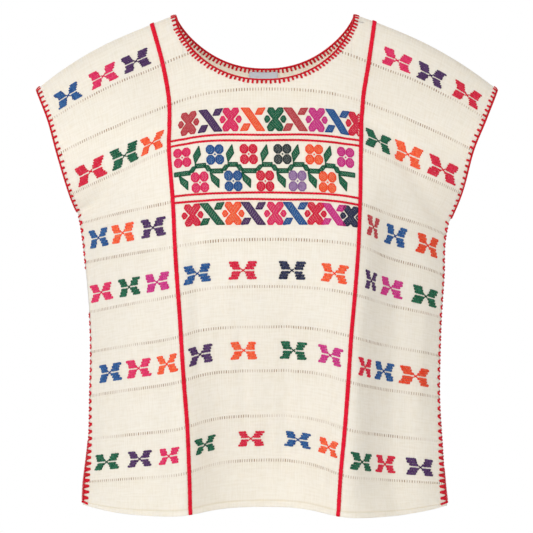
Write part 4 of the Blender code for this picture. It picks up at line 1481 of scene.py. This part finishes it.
def cotton(name, hidden_lines=()):
    """Handwoven cream cotton with openwork, its holes painted as shadow and its ribs and hem groove painted
    with shade. hidden_lines are the signed lines with none.
    """
    made, nodes, shader = new_material(name)
    place = map_named(nodes, "Weave")
    split = nodes.add("ShaderNodeSeparateXYZ")
    nodes.join(place, split.inputs[0])
    line = nodes.math("DIVIDE", split.outputs["Y"], LINE_LENGTH * METRES)
    shown = nodes.ramp(nodes.math("ABSOLUTE", line), 10.6, 10.4)
    fold = nodes.ramp(nodes.math("ABSOLUTE", line), 0.4, 0.6)
    shown = nodes.math("MULTIPLY", shown, nodes.math("MULTIPLY_ADD", fold, 0.55, 0.45))
    for hidden in hidden_lines:
        near = nodes.math("ABSOLUTE", nodes.math("SUBTRACT", line, float(hidden)))
        shown = nodes.math("MULTIPLY", shown, nodes.ramp(near, 0.4, 0.5))
    weave = use_group(nodes, WEAVE, Cloth_place=place, Pitch=WEAVE_PITCH)
    work_lines = use_group(nodes, OPENWORK, Cloth_place=place, Lines_shown=shown)
    cloudy = nodes.noise(nodes.scaled(place, 9, 6, 1), 1.0, 3.0)
    tone = nodes.math("MULTIPLY_ADD", weave["Thick places"], 2.0, -0.82, clamp=True)
    tone = nodes.math("ADD", tone, nodes.math("MULTIPLY_ADD", cloudy, 0.24, -0.09), clamp=True)
    # Painted shade in the ribs below the holes, which the bump also presses in
    tone = nodes.math("ADD", tone, nodes.math("MULTIPLY", work_lines["Ribs"], 0.30), clamp=True)
    # Painted shade in the groove of the hem's stitching: the cloth goes darker along it
    from_hem = nodes.math("MULTIPLY_ADD", nodes.math("ABSOLUTE", line), -LINE_LENGTH, HEM_LINE * LINE_LENGTH)
    off_stitching = nodes.math("ABSOLUTE", nodes.math("SUBTRACT", from_hem, HEM_TURNING))
    tone = nodes.math("MULTIPLY_ADD", nodes.ramp(off_stitching, 1.6, 0.5), 0.7, tone, clamp=True)
    base = nodes.mix(tone, colour_of(*CREAM), colour_of(*SHADED_CREAM))
    # Painted shadow in the holes: a brown mixed in where they lie, while the bump presses them in
    colour = nodes.mix(work_lines["Holes"], base, colour_of(*HOLE_SHADOW))
    nodes.join(colour, shader["Base Color"])
    height = nodes.math("MULTIPLY_ADD", work_lines["Ribs"], -0.8, weave["Height"])
    normal = nodes.bump(height, 0.35, 0.00022)
    normal = nodes.bump(work_lines["Holes"], 0.8, -0.0008, normal)
    nodes.join(normal, shader["Normal"])
    for label, value in COTTON_FINISH.items():
        shader[label].default_value = value
    return made


def floss(name, yarn, gloss=COTTON_GLOSS):
    """Thread between its deep and light colours: deep at stitch tips and row ends as painted shade, light
    inside, partly a painted sheen.
    """
    made, nodes, shader = new_material(name)
    shade = nodes.add("ShaderNodeAttribute", attribute_name="shade").outputs["Fac"]
    out = use_group(nodes, STRANDS, Strand_place=map_named(nodes, "Strand"), Shade=shade,
                    Deep=colour_of(*yarn.deep), Light=colour_of(*yarn.light))
    nodes.join(out["Color"], shader["Base Color"])
    nodes.join(nodes.bump(out["Height"], 0.5, 0.00018), shader["Normal"])
    shader["Roughness"].default_value = gloss
    shader["Specular IOR Level"].default_value = 0.2
    return made


def label_cloth():
    """Smooth pale blue label."""
    made, nodes, shader = new_material("label satin")
    place = map_named(nodes, "Weave")
    weave = use_group(nodes, WEAVE, Cloth_place=place, Pitch=LABEL_PITCH)
    tone = nodes.math("MULTIPLY_ADD", weave["Thick places"], 0.5, -0.1, clamp=True)
    blue = nodes.mix(tone, colour_of(*LABEL_BLUE), colour_of(*LABEL_SHADE))
    nodes.join(blue, shader["Base Color"])
    nodes.join(nodes.bump(weave["Height"], 0.25, 0.0001), shader["Normal"])
    shader["Roughness"].default_value = 0.55
    return made


# ---------------------------------------------------------------- floor, light and camera

FLOOR_HEIGHT = -1.35
FLOOR_REACH = 14.0
VIEW_DISTANCE = 2.6
VIEW_HEIGHT = -0.331
VIEW_WIDTH = 0.7036
SENSOR_WIDTH = 36.0
FLOOR_GREY = (0.86, 0.86, 0.86, 1)
# The floor turns white between these distances from the middle
FLOOR_FADE = (1.2, 3.8)
AMBIENT = 0.55
AMBIENT_TINT = (1.0, 0.975, 0.935, 1)
WHITE = (1, 1, 1, 1)

# Metres and watts. The last one stands in for light that comes through the thin cotton.
Lamp = namedtuple("Lamp", "name place aim size power")
LAMPS = (
    Lamp("key", (-1.9, -3.0, 1.4), (0.0, 0.0, -0.30), 1.2, 37.0),
    Lamp("front", (0.9, -4.0, 0.5), (0.0, 0.0, -0.25), 1.6, 23.0),
    Lamp("low", (-1.0, -3.1, -0.85), (0.0, 0.0, -0.08), 0.6, 5.5),
    Lamp("rim", (-0.6, 3.0, 1.6), (0.0, 0.0, -0.30), 2.4, 40.0),
    Lamp("inside", (0.0, -0.02, -0.32), (0.0, 0.06, 0.0), 0.16, 0.14),
)


def make_floor():
    """Plain pale floor that fades into the white surround."""
    bm = bmesh.new()
    bmesh.ops.create_circle(bm, cap_ends=True, segments=64, radius=FLOOR_REACH)
    for vertex in bm.verts:
        vertex.co.z = FLOOR_HEIGHT
    mesh = bpy.data.meshes.new("floor")
    bm.to_mesh(mesh)
    bm.free()
    material, nodes, shader = new_material("pale floor")
    place = nodes.add("ShaderNodeTexCoord").outputs["Object"]
    length = nodes.add("ShaderNodeVectorMath", operation="LENGTH")
    nodes.join(nodes.scaled(place, 1, 1, 0), length.inputs[0])
    glow = nodes.ramp(length.outputs["Value"], *FLOOR_FADE)
    shader["Base Color"].default_value = FLOOR_GREY
    shader["Roughness"].default_value = 0.9
    shader["Specular IOR Level"].default_value = 0.0
    white = nodes.add("ShaderNodeEmission")
    blend = nodes.add("ShaderNodeMixShader")
    nodes.join(glow, blend.inputs[0])
    nodes.join(material.node_tree.nodes["Principled BSDF"].outputs[0], blend.inputs[1])
    nodes.join(white.outputs[0], blend.inputs[2])
    nodes.join(blend.outputs[0], material.node_tree.nodes["Material Output"].inputs[0])
    add_object("floor", mesh, material)


def make_surround():
    """White surround: bright to look at, and softer as a light."""
    world = bpy.data.worlds.new("white surround")
    world.use_nodes = True
    nodes = Nodes(world.node_tree)
    back = world.node_tree.nodes["Background"]
    seen = nodes.add("ShaderNodeLightPath").outputs["Is Camera Ray"]
    strength = nodes.math("MULTIPLY_ADD", seen, 1.0 - AMBIENT, AMBIENT)
    nodes.join(strength, back.inputs["Strength"])
    tint = nodes.mix(seen, AMBIENT_TINT, WHITE)
    nodes.join(tint, back.inputs["Color"])
    bpy.context.scene.world = world
    bpy.context.scene.view_settings.view_transform = "Standard"


def aim(thing, place, target):
    thing.location = place
    thing.rotation_euler = (Vector(target) - Vector(place)).to_track_quat("-Z", "Y").to_euler()


def make_lamps():
    for lamp in LAMPS:
        light = bpy.data.lights.new(lamp.name, "AREA")
        light.shape = "DISK"
        light.size = lamp.size
        light.energy = lamp.power
        thing = bpy.data.objects.new(lamp.name, light)
        bpy.context.scene.collection.objects.link(thing)
        aim(thing, lamp.place, lamp.aim)
        thing.visible_camera = False


def make_camera():
    lens = bpy.data.cameras.new("camera")
    lens.sensor_width = SENSOR_WIDTH
    lens.lens = SENSOR_WIDTH * VIEW_DISTANCE / VIEW_WIDTH
    thing = bpy.data.objects.new("camera", lens)
    bpy.context.scene.collection.objects.link(thing)
    aim(thing, (0, -VIEW_DISTANCE, VIEW_HEIGHT), (0, 0, VIEW_HEIGHT))
    bpy.context.scene.camera = thing


# ---------------------------------------------------------------- the whole blouse

REPLACED = {
    "satin_left": "seam_left",
    "satin_right": "seam_right",
    "neck": "neck_edging",
    "armhole_left": "armhole_edging_left",
    "armhole_right": "armhole_edging_right",
    "side_left": "side_seam_left",
    "side_right": "side_seam_right",
}


def make_threads():
    """Join the stitches of each colour and each seam into one piece each."""
    red = floss("red thread", YARNS["red"], gloss=RED_GLOSS)
    for colour, tables in work.items():
        rows = np.concatenate(tables)
        if colour in REPLACED:
            piece = join_stitches("stitching_" + colour, rows, red)
            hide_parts(REPLACED[colour])
        elif colour == "red":
            piece = join_stitches("red_lines_chest", rows, red)
        else:
            piece = join_stitches("motifs_" + colour, rows, floss(colour + " thread", YARNS[colour]))
        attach(piece, "root")


def main():
    weave_crosses()
    embroider_row(UPPER_ROW)
    embroider_vine()
    embroider_row(LOWER_ROW)
    lay_red_lines()
    for side in ("left", "right"):
        satin_seam(side)
        bind_armhole(side)
        close_side(side)
    stitch_hem_ends()
    bind_neck()
    make_threads()
    make_sheets()
    make_floor()
    make_surround()
    make_lamps()
    make_camera()


def make_sheets():
    """The four pieces of cloth, each with its cut."""
    side_cotton = cotton("handwoven cotton")
    centre_cotton = cotton("handwoven cotton, embroidered chest", hidden_lines=(-3, -4))
    for side in ("left", "right"):
        panel = make_side_panel(side, side_cotton)
        settle(panel, "panel_" + side)
    panel = make_centre_panel(centre_cotton)
    settle(panel, "panel_centre")
    label = make_label(label_cloth())
    settle(label, "neck_label")


def settle(piece, node):
    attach(piece, "root")
    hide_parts(node)


main()
